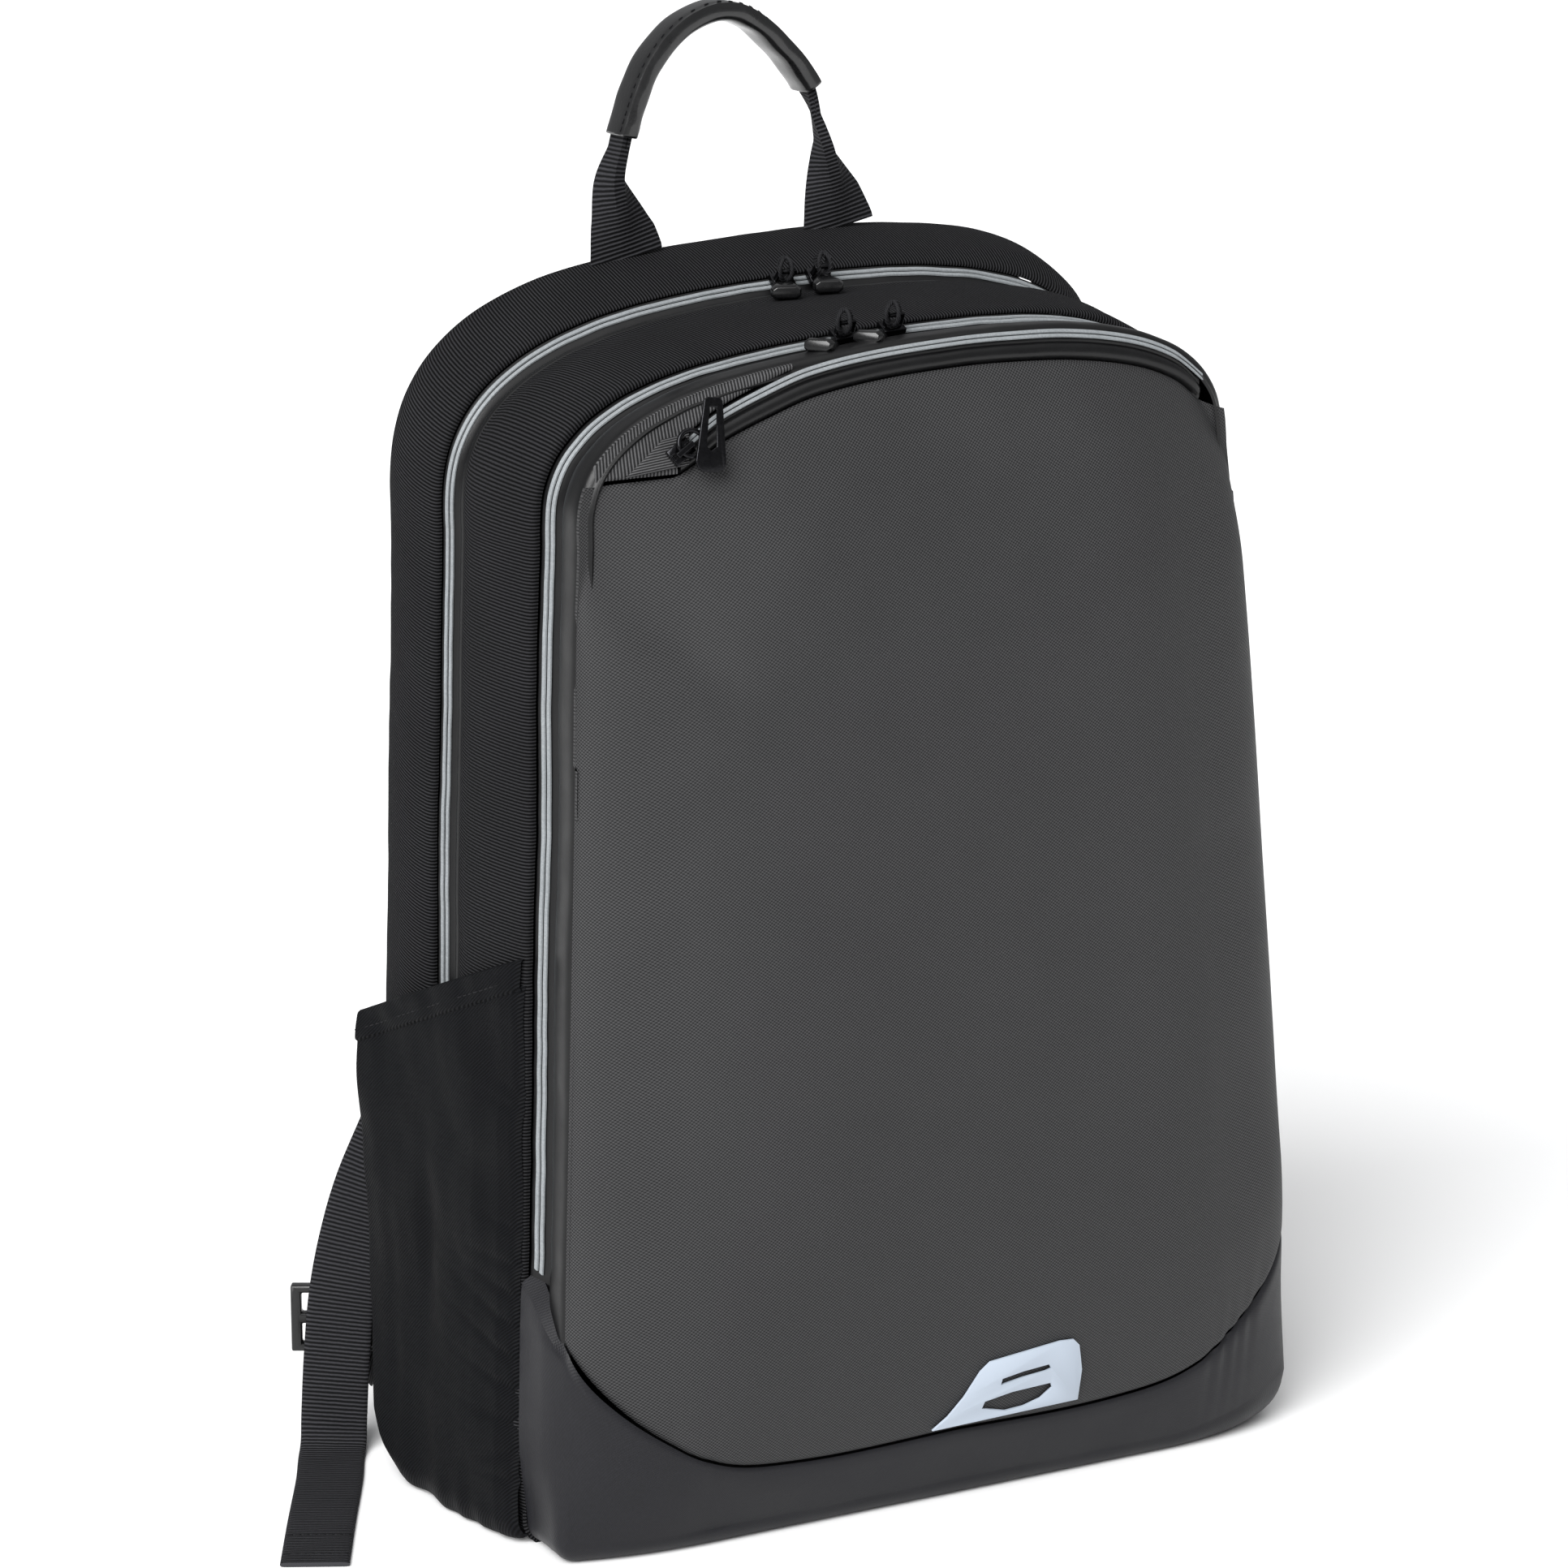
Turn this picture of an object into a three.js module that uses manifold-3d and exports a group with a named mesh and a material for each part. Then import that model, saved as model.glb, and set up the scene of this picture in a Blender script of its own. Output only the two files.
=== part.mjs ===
// Laptop backpack, standing on its base with its straps hanging behind.
// Millimetres, +Z up, front toward -Y, back toward +Y, bag's left (seen) side toward -X.
import * as THREE from 'three';
import { mergeVertices } from 'three/addons/utils/BufferGeometryUtils.js';
import Module from 'manifold-3d';

// Overall form. Heights are above the floor, depths are positions along Y.
const body = {
  midHeight: 225, // where the half widths below are taken
  taper: 0.096, // share of the half width lost from mid height to the top, gained to the floor
  footRadius: 9, // rounding where the sides turn under
  frontFootRadius: 7, // rounding of the lower front edge
  heelRadius: 35, // rounding of the lower back edge
  heelStart: 40, // depth at which the bottom begins to rise toward the back
};

// Outlines of the bag at four depths: the back edge, the two zippers and the front panel seam.
const rims = [
  { y: 75, halfWidth: 150, height: 453, arch: 88, squareness: 3.05 },
  { y: 38, halfWidth: 146.5, height: 441, arch: 73, squareness: 2.7 },
  { y: 20, halfWidth: 145.6, height: 436, arch: 67, squareness: 2.75 },
  { y: -36, halfWidth: 143, height: 431.5, arch: 57, squareness: 2.8 },
  { y: -57, halfWidth: 145, height: 433, arch: 57, squareness: 2.8 },
];

const cloth = { wall: 2, tape: 1.2, stripe: 0.7, gap: 0.4, seamGap: 0.7 };

// The soft bag has settled toward its left: the top leans and its right shoulder stands higher.
const settled = { lean: 0.03, lift: 0.057, height: 450 };

// Front dome: how far it swells and over what distance from its edges.
const dome = {
  swell: 30,
  power: 2.3,
  sideReach: 110,
  rightReach: 72,
  sideReachAtFloor: 60,
  topReach: 130,
  bottomReach: 135,
  bottomStart: -14, // height at which the swell would vanish below the floor
  shoulderPuff: 4,
  rightPuff: 8,
  shoulderWidth: 26,
};

// Small numeric helpers
const clamp = (v, lo, hi) => Math.min(hi, Math.max(lo, v));
const mix = (a, b, t) => a + (b - a) * t;
// Rises smoothly from 0 at lo to 1 at hi, which may lie either way round.
const smooth = (lo, hi, v) => {
  const t = clamp((v - lo) / (hi - lo), 0, 1);
  return t * t * (3 - 2 * t);
};
const steps = (count, from = 0, to = 1) =>
  Array.from({ length: count + 1 }, (_, i) => mix(from, to, i / count));
const add = (a, b, k = 1) => [a[0] + b[0] * k, a[1] + b[1] * k, a[2] + b[2] * k];
const sub = (a, b) => [a[0] - b[0], a[1] - b[1], a[2] - b[2]];
const cross = (a, b) => [
  a[1] * b[2] - a[2] * b[1],
  a[2] * b[0] - a[0] * b[2],
  a[0] * b[1] - a[1] * b[0],
];
const unit = (a) => {
  const length = Math.hypot(...a) || 1;
  return [a[0] / length, a[1] / length, a[2] / length];
};

// Value of a named column of a table at a position in another named column.
function lookUp(table, at, column, value) {
  const rows = table;
  const up = rows[rows.length - 1][at] > rows[0][at];
  const ordered = up ? rows : [...rows].reverse();
  if (value <= ordered[0][at]) return ordered[0][column];
  for (let i = 1; i < ordered.length; i += 1) {
    if (value <= ordered[i][at]) {
      const t = (value - ordered[i - 1][at]) / (ordered[i][at] - ordered[i - 1][at]);
      return mix(ordered[i - 1][column], ordered[i][column], t);
    }
  }
  return ordered[ordered.length - 1][column];
}

// Outlines
function rimAt(y) {
  const rim = { y };
  for (const column of ['halfWidth', 'height', 'arch', 'squareness']) {
    rim[column] = lookUp(rims, 'y', column, y);
  }
  return rim;
}

// Height of the bag's underside: flat on the floor, rising round the heel at the back.
function undersideAt(y) {
  const past = clamp(y - body.heelStart, 0, body.heelRadius);
  return body.heelRadius - Math.sqrt(body.heelRadius ** 2 - past ** 2);
}

const sideWidth = (rim, z) =>
  rim.halfWidth * (1 - (body.taper * (z - body.midHeight)) / body.midHeight);

function halfWidthAt(rim, z) {
  const shoulder = rim.height - rim.arch;
  if (z <= shoulder) return sideWidth(rim, z);
  const rise = clamp((z - shoulder) / rim.arch, 0, 1);
  return sideWidth(rim, shoulder) * (1 - rise ** rim.squareness) ** (1 / rim.squareness);
}

function topHeightAt(rim, x) {
  const shoulder = rim.height - rim.arch;
  const reach = clamp(Math.abs(x) / sideWidth(rim, shoulder), 0, 1);
  return shoulder + rim.arch * (1 - reach ** rim.squareness) ** (1 / rim.squareness);
}

// An outline is walked by s, from -1 at the left foot over the top at 0 to 1 at the right foot.
const outlineCache = new Map();
function outlineAt(y) {
  const key = y.toFixed(4);
  if (outlineCache.has(key)) return outlineCache.get(key);
  const rim = rimAt(y);
  const shoulder = rim.height - rim.arch;
  const width = sideWidth(rim, shoulder);
  const power = 2 / rim.squareness;
  const underside = undersideAt(y);
  const half = [];
  for (const t of steps(160, Math.PI / 2, 0)) {
    half.push([width * Math.cos(t) ** power, shoulder + rim.arch * Math.sin(t) ** power]);
  }
  for (const t of steps(40).slice(1)) {
    const z = mix(shoulder, underside + body.footRadius, t);
    half.push([sideWidth(rim, z), z]);
  }
  const footX = sideWidth(rim, underside + body.footRadius) - body.footRadius;
  for (const t of steps(14, 0, Math.PI / 2).slice(1)) {
    half.push([
      footX + body.footRadius * Math.cos(t),
      underside + body.footRadius * (1 - Math.sin(t)),
    ]);
  }
  half[0][0] = 0;
  const lengths = [0];
  for (let i = 1; i < half.length; i += 1) {
    lengths.push(
      lengths[i - 1] + Math.hypot(half[i][0] - half[i - 1][0], half[i][1] - half[i - 1][1]),
    );
  }
  const total = lengths[lengths.length - 1];
  const outline = { rim, half, lengths, total, footX };
  outlineCache.set(key, outline);
  return outline;
}

function outlinePoint(y, s) {
  const { half, lengths, total } = outlineAt(y);
  const side = s < 0 ? -1 : 1;
  const place = Math.abs(s) * total;
  let i = 1;
  while (i < half.length - 1 && lengths[i] < place) i += 1;
  const t = clamp((place - lengths[i - 1]) / (lengths[i] - lengths[i - 1] || 1), 0, 1);
  const x = mix(half[i - 1][0], half[i][0], t);
  const z = mix(half[i - 1][1], half[i][1], t);
  const before = half[Math.max(0, i - 2)];
  const after = half[Math.min(half.length - 1, i + 1)];
  const run = Math.hypot(after[0] - before[0], after[1] - before[1]);
  const nx = s === 0 ? 0 : -(after[1] - before[1]) / run;
  const nz = s === 0 ? 1 : (after[0] - before[0]) / run;
  return { x: side * x, z, nx: side * nx, nz };
}

// Share of the way along the outline at which the side reaches a height.
function shareAtHeight(y, z) {
  const { half, lengths, total } = outlineAt(y);
  for (let i = half.length - 1; i > 0; i -= 1) {
    if (half[i - 1][1] >= z) {
      const t = (z - half[i][1]) / (half[i - 1][1] - half[i][1] || 1);
      return mix(lengths[i], lengths[i - 1], t) / total;
    }
  }
  return 0;
}

// The bands puff out most at the top corners and sides, less across the top and by the floor.
const puff = { fadeHeight: 45, topShare: 0.45, topFrom: 0.1, topTo: 0.24 };
const puffShare = (s, height) =>
  mix(puff.topShare, 1, smooth(puff.topFrom, puff.topTo, Math.abs(s))) *
  smooth(0, puff.fadeHeight, height);

// The right top corner stands out at the back and is pressed in between the zippers.
const rightCorner = { share: 0.25, width: 0.07 };
const rightCornerPush = [
  { y: 75, push: 6 },
  { y: 50, push: 7.5 },
  { y: 30, push: 3 },
  { y: 10, push: -2 },
  { y: -15, push: -4.5 },
  { y: -30, push: -3 },
  { y: -46, push: 0 },
];

// A point on the side walls: out of the outline by `out`, then sunk in by `depth`.
function wallPoint(y, s, out, depth = 0) {
  const p = outlinePoint(y, s);
  const height = p.z - undersideAt(y);
  const share = out > 0 ? puffShare(s, height) : smooth(0, puff.fadeHeight, height);
  const corner = Math.exp(-(((s - rightCorner.share) / rightCorner.width) ** 2));
  const push = out * share + corner * lookUp(rightCornerPush, 'y', 'push', y) - depth;
  return [p.x + p.nx * push, y, p.z + p.nz * push];
}

// Front dome
const frontRim = rims[rims.length - 1];
const swellShare = (distance, reach) => 1 - (1 - clamp(distance / reach, 0, 1)) ** dome.power;

function domeY(x, z) {
  const reach = x < 0 ? dome.sideReach : mix(dome.sideReach, dome.rightReach, smooth(0, 60, x));
  const sideReach = mix(dome.sideReachAtFloor, reach, smooth(0, 120, z));
  const side = swellShare(halfWidthAt(frontRim, z) - Math.abs(x), sideReach);
  const top = swellShare(topHeightAt(frontRim, x) - z, dome.topReach);
  const bottom = swellShare(z - dome.bottomStart, dome.bottomReach);
  return frontRim.y - dome.swell * side * top * bottom;
}

function domeNormal(x, z) {
  const h = 1.5;
  const dx = (domeY(x + h, z) - domeY(x - h, z)) / (2 * h);
  const dz = (domeY(x, z + h) - domeY(x, z - h)) / (2 * h);
  return unit([dx, -1, dz]);
}

// A point on the dome, lifted off it outward (or sunk, when the lift is negative).
function domePoint(x, z, lift = 0) {
  const inset = halfWidthAt(frontRim, z) - Math.abs(x);
  const across = clamp(inset / dome.shoulderWidth, 0, 1);
  const above = smooth(0, 110, z) * clamp((frontRim.height - frontRim.arch * 0.6 - z) / 50, 0, 1);
  const swell = x < 0 ? dome.shoulderPuff : dome.rightPuff;
  const outward = swell * 4 * across * (1 - across) * above;
  const point = add([x + Math.sign(x) * outward, domeY(x, z), z], domeNormal(x, z), lift);
  // Nothing on the dome reaches back into the zipper tape behind its rim.
  return [point[0], Math.min(point[1], frontRim.y - cloth.gap), point[2]];
}

// Building solids from grids of points
function quadTriangles(grid, closeColumns = false, closeRows = false) {
  const triangles = [];
  const rowCount = grid.length;
  const columnCount = grid[0].length;
  const lastRow = closeRows ? rowCount : rowCount - 1;
  const lastColumn = closeColumns ? columnCount : columnCount - 1;
  for (let r = 0; r < lastRow; r += 1) {
    for (let c = 0; c < lastColumn; c += 1) {
      const a = grid[r][c];
      const b = grid[r][(c + 1) % columnCount];
      const d = grid[(r + 1) % rowCount][c];
      const e = grid[(r + 1) % rowCount][(c + 1) % columnCount];
      triangles.push([a, b, e], [a, e, d]);
    }
  }
  return triangles;
}

const reversed = (triangles) => triangles.map(([a, b, c]) => [a, c, b]);

// Closed wall between an outer and an inner sheet of the same rows and columns.
function wallBetween(outer, inner) {
  const last = outer.length - 1;
  const end = outer[0].length - 1;
  const rim = (pick) => quadTriangles([pick(inner), pick(outer)]);
  return [
    ...quadTriangles(outer),
    ...reversed(quadTriangles(inner)),
    ...rim((g) => g[0]),
    ...reversed(rim((g) => g[last])),
    ...reversed(rim((g) => g.map((row) => row[0]))),
    ...rim((g) => g.map((row) => row[end])),
  ];
}

// Closed rod through rings of points, each ring convex.
function rodThrough(rings) {
  const triangles = quadTriangles(rings, true);
  const cap = (ring) => {
    const centre = ring.reduce((sum, p) => add(sum, p), [0, 0, 0]).map((v) => v / ring.length);
    return ring.map((p, i) => [centre, p, ring[(i + 1) % ring.length]]);
  };
  return [...triangles, ...reversed(cap(rings[0])), ...cap(rings[rings.length - 1])];
}

// Open tube between outer rings and inner rings.
function tubeBetween(outer, inner) {
  const last = outer.length - 1;
  return [
    ...quadTriangles(outer, true),
    ...reversed(quadTriangles(inner, true)),
    ...quadTriangles([inner[0], outer[0]], true),
    ...reversed(quadTriangles([inner[last], outer[last]], true)),
  ];
}

// Finishes
const looks = {
  ribbed: { color: 0x232427, roughness: 0.85, metalness: 0 },
  coated: { color: 0x3b3b3d, roughness: 0.6, metalness: 0 },
  smoothCoated: { color: 0x3f3f44, roughness: 0.5, metalness: 0 },
  pocketCloth: { color: 0x1f2128, roughness: 0.8, metalness: 0 },
  tape: { color: 0x121213, roughness: 0.45, metalness: 0 },
  reflective: { color: 0xc8cbd0, roughness: 0.35, metalness: 0.2 },
  mesh: { color: 0x1a1a1c, roughness: 0.95, metalness: 0 },
  webbing: { color: 0x1d1d1f, roughness: 0.85, metalness: 0 },
  leatherette: { color: 0x171718, roughness: 0.5, metalness: 0 },
  plastic: { color: 0x0f0f10, roughness: 0.3, metalness: 0 },
  metal: { color: 0x1b1b1d, roughness: 0.25, metalness: 0.9 },
};

// The whole bag and its sub-assemblies
const group = new THREE.Group();
const [bag, zippers, pockets, carryHandle, straps, trim] = steps(5).map(() => new THREE.Group());
group.add(bag, zippers, pockets, carryHandle, straps, trim);

function settle([x, y, z]) {
  return [x - settled.lean * z, y, z + (settled.lift * x * z) / settled.height];
}

function addMesh(parent, name, geometry, look) {
  const mesh = new THREE.Mesh(geometry, new THREE.MeshStandardMaterial(looks[look]));
  mesh.name = name;
  parent.add(mesh);
  return mesh;
}

// Geometry from triangles, turned so that its faces point outward.
function geometryOf(triangles) {
  let volume = 0;
  for (const [a, b, c] of triangles) {
    const n = cross(b, c);
    volume += a[0] * n[0] + a[1] * n[1] + a[2] * n[2];
  }
  const facing = volume < 0 ? reversed(triangles) : triangles;
  const geometry = new THREE.BufferGeometry();
  geometry.setAttribute('position', new THREE.Float32BufferAttribute(facing.flat(2), 3));
  geometry.computeVertexNormals();
  return geometry;
}

// A soft piece is drawn on the upright bag and then settles with it.
function addSoft(parent, name, triangles, look) {
  return addMesh(parent, name, geometryOf(triangles.map((corners) => corners.map(settle))), look);
}

// Patch between four edges (each a list of [x, z]), laid out evenly inside.
function patch(bottom, top, left, right) {
  const rows = left.length - 1;
  const columns = bottom.length - 1;
  const grid = [];
  for (let r = 0; r <= rows; r += 1) {
    const v = r / rows;
    const row = [];
    for (let c = 0; c <= columns; c += 1) {
      const u = c / columns;
      const point = [0, 1].map(
        (k) =>
          mix(bottom[c][k], top[c][k], v) +
          mix(left[r][k], right[r][k], u) -
          mix(mix(bottom[0][k], bottom[columns][k], u), mix(top[0][k], top[columns][k], u), v),
      );
      row.push(point);
    }
    grid.push(row);
  }
  return grid;
}

// Gussets and zipper tapes: bands along the outline, each row a depth and how far it stands out
const rearGussetRows = [
  { y: 74.6, out: -1.6 },
  { y: 72.6, out: 1 },
  { y: 66, out: 4 },
  { y: 53, out: 5 },
  { y: 40.6, out: 2.6 },
];
const rearTapeRows = [
  { y: 40, out: 0.6 },
  { y: 34.4, out: -3.8 },
  { y: 27.8, out: -2.4 },
];
const middleGussetRows = [
  { y: 27.2, out: -2 },
  { y: 20, out: 2.6 },
  { y: 5, out: 7 },
  { y: -12, out: 7 },
  { y: -26, out: 5 },
  { y: -29.6, out: 3.2 },
];
const mainTapeRows = [
  { y: -30.4, out: 1 },
  { y: -37.6, out: -3.4 },
  { y: -46, out: -3.2 },
  { y: frontRim.y + cloth.gap, out: -1.4 },
];

// Shares of the half outline where the bands have their columns, closest at the top corners.
const halfShares = [
  1, 0.985, 0.96, 0.84, 0.7, 0.56, 0.45, 0.38, 0.345, 0.32, 0.295, 0.27, 0.245, 0.22,
  0.195, 0.17, 0.14, 0.09, 0,
];
const straightFrom = 0.5; // beyond this share the sides are straight
function bandShares(end) {
  const fitted = halfShares.map((s) =>
    s <= straightFrom ? s : mix(straightFrom, end, (s - straightFrom) / (1 - straightFrom)),
  );
  return [...fitted.map((s) => -s), ...fitted.slice(0, -1).reverse()];
}

// Height of the curved seam that tops the base panel, across the front and round the side.
const baseSeamFront = [
  { x: 0, z: 29 },
  { x: 45, z: 28 },
  { x: 70, z: 29 },
  { x: 90, z: 31.5 },
  { x: 106, z: 37 },
  { x: 118, z: 44 },
  { x: 130, z: 54 },
  { x: 141, z: 67 },
  { x: 155, z: 87 },
];
const baseSeamSide = [
  { y: -30.6, z: 106 },
  { y: -44, z: 96 },
  { y: -57, z: 84 },
];

function bandGrid(rows, depth, footHeightAt = null) {
  return rows.map(({ y, out }) => {
    const end = footHeightAt ? shareAtHeight(y, footHeightAt(y)) : 1;
    return bandShares(end).map((s) => wallPoint(y, s, out, depth));
  });
}

function addBand(parent, name, rows, thickness, look, footHeightAt = null) {
  const [outer, inner] = [0, thickness].map((depth) => bandGrid(rows, depth, footHeightAt));
  addSoft(parent, name, wallBetween(outer, inner), look);
}

const mainZipEnd = (y) => lookUp(baseSeamSide, 'y', 'z', y) + cloth.seamGap;
const rearZipEnd = 110; // the rear zipper stops here, inside the side pockets

addBand(bag, 'rear_gusset', rearGussetRows, cloth.wall, 'ribbed');
addBand(zippers, 'rear_zipper_tape', rearTapeRows, cloth.tape, 'tape');
addBand(bag, 'middle_gusset', middleGussetRows, cloth.wall, 'ribbed');
addBand(zippers, 'main_zipper_tape', mainTapeRows, cloth.tape, 'tape', mainZipEnd);

// Reflective stripes: a pair along the first slope of each tape, raised clear of it
const stripePair = [
  { name: 'back', from: 0.16, to: 0.42 },
  { name: 'front', from: 0.54, to: 0.8 },
];

function addBandStripes(prefix, tapeRows, footHeightAt) {
  const [a, b] = tapeRows;
  for (const { name, from, to } of stripePair) {
    const rows = [from, to].map((t) => ({ y: mix(a.y, b.y, t), out: mix(a.out, b.out, t) }));
    const lift = cloth.gap + cloth.stripe;
    const [outer, inner] = [-lift, -cloth.gap].map((depth) => bandGrid(rows, depth, footHeightAt));
    addSoft(zippers, `${prefix}_${name}_stripe`, wallBetween(outer, inner), 'reflective');
  }
}
addBandStripes('rear_zipper', rearTapeRows, () => rearZipEnd);
addBandStripes('main_zipper', mainTapeRows, (y) => mainZipEnd(y) + 2);

// Pocket zipper: a strip over the top of the dome, its upper and lower edges
const pocketZip = [
  { x: -97, upper: 408, lower: 399.4 },
  { x: -90, upper: 412.4, lower: 403 },
  { x: -80, upper: 418, lower: 408.5 },
  { x: -60, upper: 424.6, lower: 415 },
  { x: -42, upper: 428.8, lower: 419.4 },
  { x: -16, upper: 431, lower: 421.8 },
  { x: 18, upper: 431.2, lower: 422 },
  { x: 40, upper: 430.2, lower: 420.8 },
  { x: 66, upper: 427.8, lower: 418 },
  { x: 93, upper: 422, lower: 412 },
  { x: 111, upper: 414.4, lower: 404.4 },
  { x: 123, upper: 404.4, lower: 395.5 },
];
const topCorner = { z: 398 }; // where the front panel's top edge leaves the left side
const zipLeft = pocketZip[0];
const zipRight = pocketZip[pocketZip.length - 1];

function zipStrip(from, to, lift, columns = 26) {
  return [from, to].map((share) =>
    steps(columns, zipLeft.x, zipRight.x).map((x) => {
      const upper = lookUp(pocketZip, 'x', 'upper', x);
      const lower = lookUp(pocketZip, 'x', 'lower', x);
      return domePoint(x, mix(upper, lower, share), lift);
    }),
  );
}
const pocketTape = wallBetween(zipStrip(0, 1, 0), zipStrip(0, 1, -cloth.tape));
addSoft(zippers, 'pocket_zipper_tape', pocketTape, 'tape');
for (const { name, from, to } of [
  { name: 'upper', from: 0.04, to: 0.21 },
  { name: 'lower', from: 0.28, to: 0.45 },
]) {
  const lift = cloth.gap + cloth.stripe;
  const stripe = wallBetween(zipStrip(from, to, lift), zipStrip(from, to, cloth.gap));
  addSoft(zippers, `pocket_zipper_${name}_stripe`, stripe, 'reflective');
}

// Front panel: the dome inside the seam, its top edge following the pocket zipper
const seamOut = -1;
const seamPoint = (s) => {
  const [x, , z] = wallPoint(frontRim.y, s, seamOut);
  return [x, z];
};
const baseSeamHeight = (x) => lookUp(baseSeamFront, 'x', 'z', Math.abs(x));
const cornerShareLeft = shareAtHeight(frontRim.y, topCorner.z);
const cornerShareRight = shareAtHeight(frontRim.y, 390);
const sideStart = shareAtHeight(
  frontRim.y,
  lookUp(baseSeamSide, 'y', 'z', frontRim.y) + cloth.seamGap * 3.4,
);

// Spread points evenly by length along a polyline of [x, z].
function spread(points, count) {
  const lengths = [0];
  for (let i = 1; i < points.length; i += 1) {
    const run = Math.hypot(points[i][0] - points[i - 1][0], points[i][1] - points[i - 1][1]);
    lengths.push(lengths[i - 1] + run);
  }
  return steps(count, 0, lengths[lengths.length - 1]).map((place) => {
    let i = 1;
    while (i < points.length - 1 && lengths[i] < place) i += 1;
    const t = clamp((place - lengths[i - 1]) / (lengths[i] - lengths[i - 1] || 1), 0, 1);
    return [mix(points[i - 1][0], points[i][0], t), mix(points[i - 1][1], points[i][1], t)];
  });
}

// Shares of the half width where the front panel and the base panel have their columns.
const baseFrontShares = [0.975, 0.94, 0.89, 0.82, 0.74, 0.64, 0.5, 0.34, 0.17, 0];
const frontShares = [...baseFrontShares.map((s) => -s), ...baseFrontShares.slice(0, -1).reverse()];
const baseSeamWidth = sideWidth(frontRim, 60);
const panelColumns = frontShares.length + 1;
const panelRows = 12;
const notchColumns = 3; // columns left of the pocket zipper's end
function frontPanelEdges() {
  const left = steps(panelRows, -sideStart, -cornerShareLeft).map(seamPoint);
  const right = steps(panelRows, sideStart, cornerShareRight).map(seamPoint);
  const bottom = steps(panelColumns).map((u, i) => {
    if (i === 0) return left[0];
    if (i === panelColumns) return right[0];
    const share = frontShares[i - 1];
    const seam = baseSeamHeight(share * baseSeamWidth);
    const gap = cloth.seamGap * mix(1.4, 2.4, Math.abs(share) ** 8);
    return [share * sideWidth(frontRim, seam), seam + gap];
  });
  const leftTop = left[panelRows];
  const rightTop = right[panelRows];
  const notch = [zipLeft.x - 2.6, topCorner.z];
  const underZip = pocketZip.map(({ x, lower }) => [x, lower - cloth.seamGap]);
  const top = [
    ...spread([leftTop, notch], notchColumns).slice(0, -1),
    ...spread([notch, ...underZip, rightTop], panelColumns - notchColumns),
  ];
  return { bottom, top, left, right };
}

function frontPanelSheet(depth) {
  const { bottom, top, left, right } = frontPanelEdges();
  const flat = patch(bottom, top, left, right);
  return flat.map((row, r) =>
    row.map(([x, z], c) => {
      if (c > 0 && c < panelColumns) return domePoint(x, z, -depth);
      const share = c === 0
        ? mix(-sideStart, -cornerShareLeft, r / panelRows)
        : mix(sideStart, cornerShareRight, r / panelRows);
      return wallPoint(frontRim.y - cloth.gap, share, seamOut, depth);
    }),
  );
}
addSoft(bag, 'front_panel', wallBetween(frontPanelSheet(0), frontPanelSheet(cloth.wall)), 'coated');

// Crescent of lighter cloth between the main zipper and the pocket zipper
function crescentSheet(depth) {
  const beside = zipLeft.x - 2.4;
  const xs = [...steps(6, -127, beside), ...steps(8, zipLeft.x - 0.3, -48)];
  const upper = (x) => topHeightAt(frontRim, x) - 1.6;
  const lower = (x) => {
    const floor = topCorner.z + 1.1;
    if (x < zipLeft.x - 1) return floor;
    return lookUp(pocketZip, 'x', 'upper', x) + cloth.seamGap;
  };
  return steps(3).map((v) =>
    xs.map((x) => {
      const low = Math.min(lower(x), upper(x) - 0.6);
      return domePoint(x, mix(upper(x), low, v), -depth);
    }),
  );
}
addSoft(bag, 'front_top_gusset', wallBetween(crescentSheet(0), crescentSheet(1.6)), 'ribbed');

// Folded tab of cloth over the left end of the pocket zipper
const endTab = {
  bottom: [[-117, 399.4], [-94, 401.4]],
  top: [[-102, 411], [-92, 412]],
  lift: 2.6,
  thickness: 1.1,
};
function endTabSheet(lift) {
  const between = (edge, t) => [mix(edge[0][0], edge[1][0], t), mix(edge[0][1], edge[1][1], t)];
  return steps(4).map((v) =>
    steps(4).map((u) => {
      const low = between(endTab.bottom, u);
      const high = between(endTab.top, u);
      return domePoint(mix(low[0], high[0], v), mix(low[1], high[1], v), lift);
    }),
  );
}
const endTabWall = wallBetween(endTabSheet(endTab.lift), endTabSheet(endTab.lift - endTab.thickness));
addSoft(zippers, 'zipper_end_tab', endTabWall, 'ribbed');

// Base panel: from the curved seam down the front, round the corners and under
const baseWrap = [
  { y: -30.6, out: 4.6, left: 9, right: 11 },
  { y: -38, out: 4.6, left: 9, right: 15 },
  { y: -48, out: 3.6, left: 9, right: 19 },
  { y: -57, out: 0.6, left: 9, right: 21 },
];
// Rounding of the lower front edge against the share of the half width; the right is softer.
const frontTurns = [
  { share: 0.64, left: body.frontFootRadius, right: body.frontFootRadius },
  { share: 0.82, left: 7.5, right: 12 },
  { share: 0.94, left: 8.5, right: 18 },
  { share: 1, left: 9, right: 21 },
];
const baseRows = [1, 0.72, 0.46, 0.22, 0];
const footTurns = [0.33, 0.66, 1];

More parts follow.
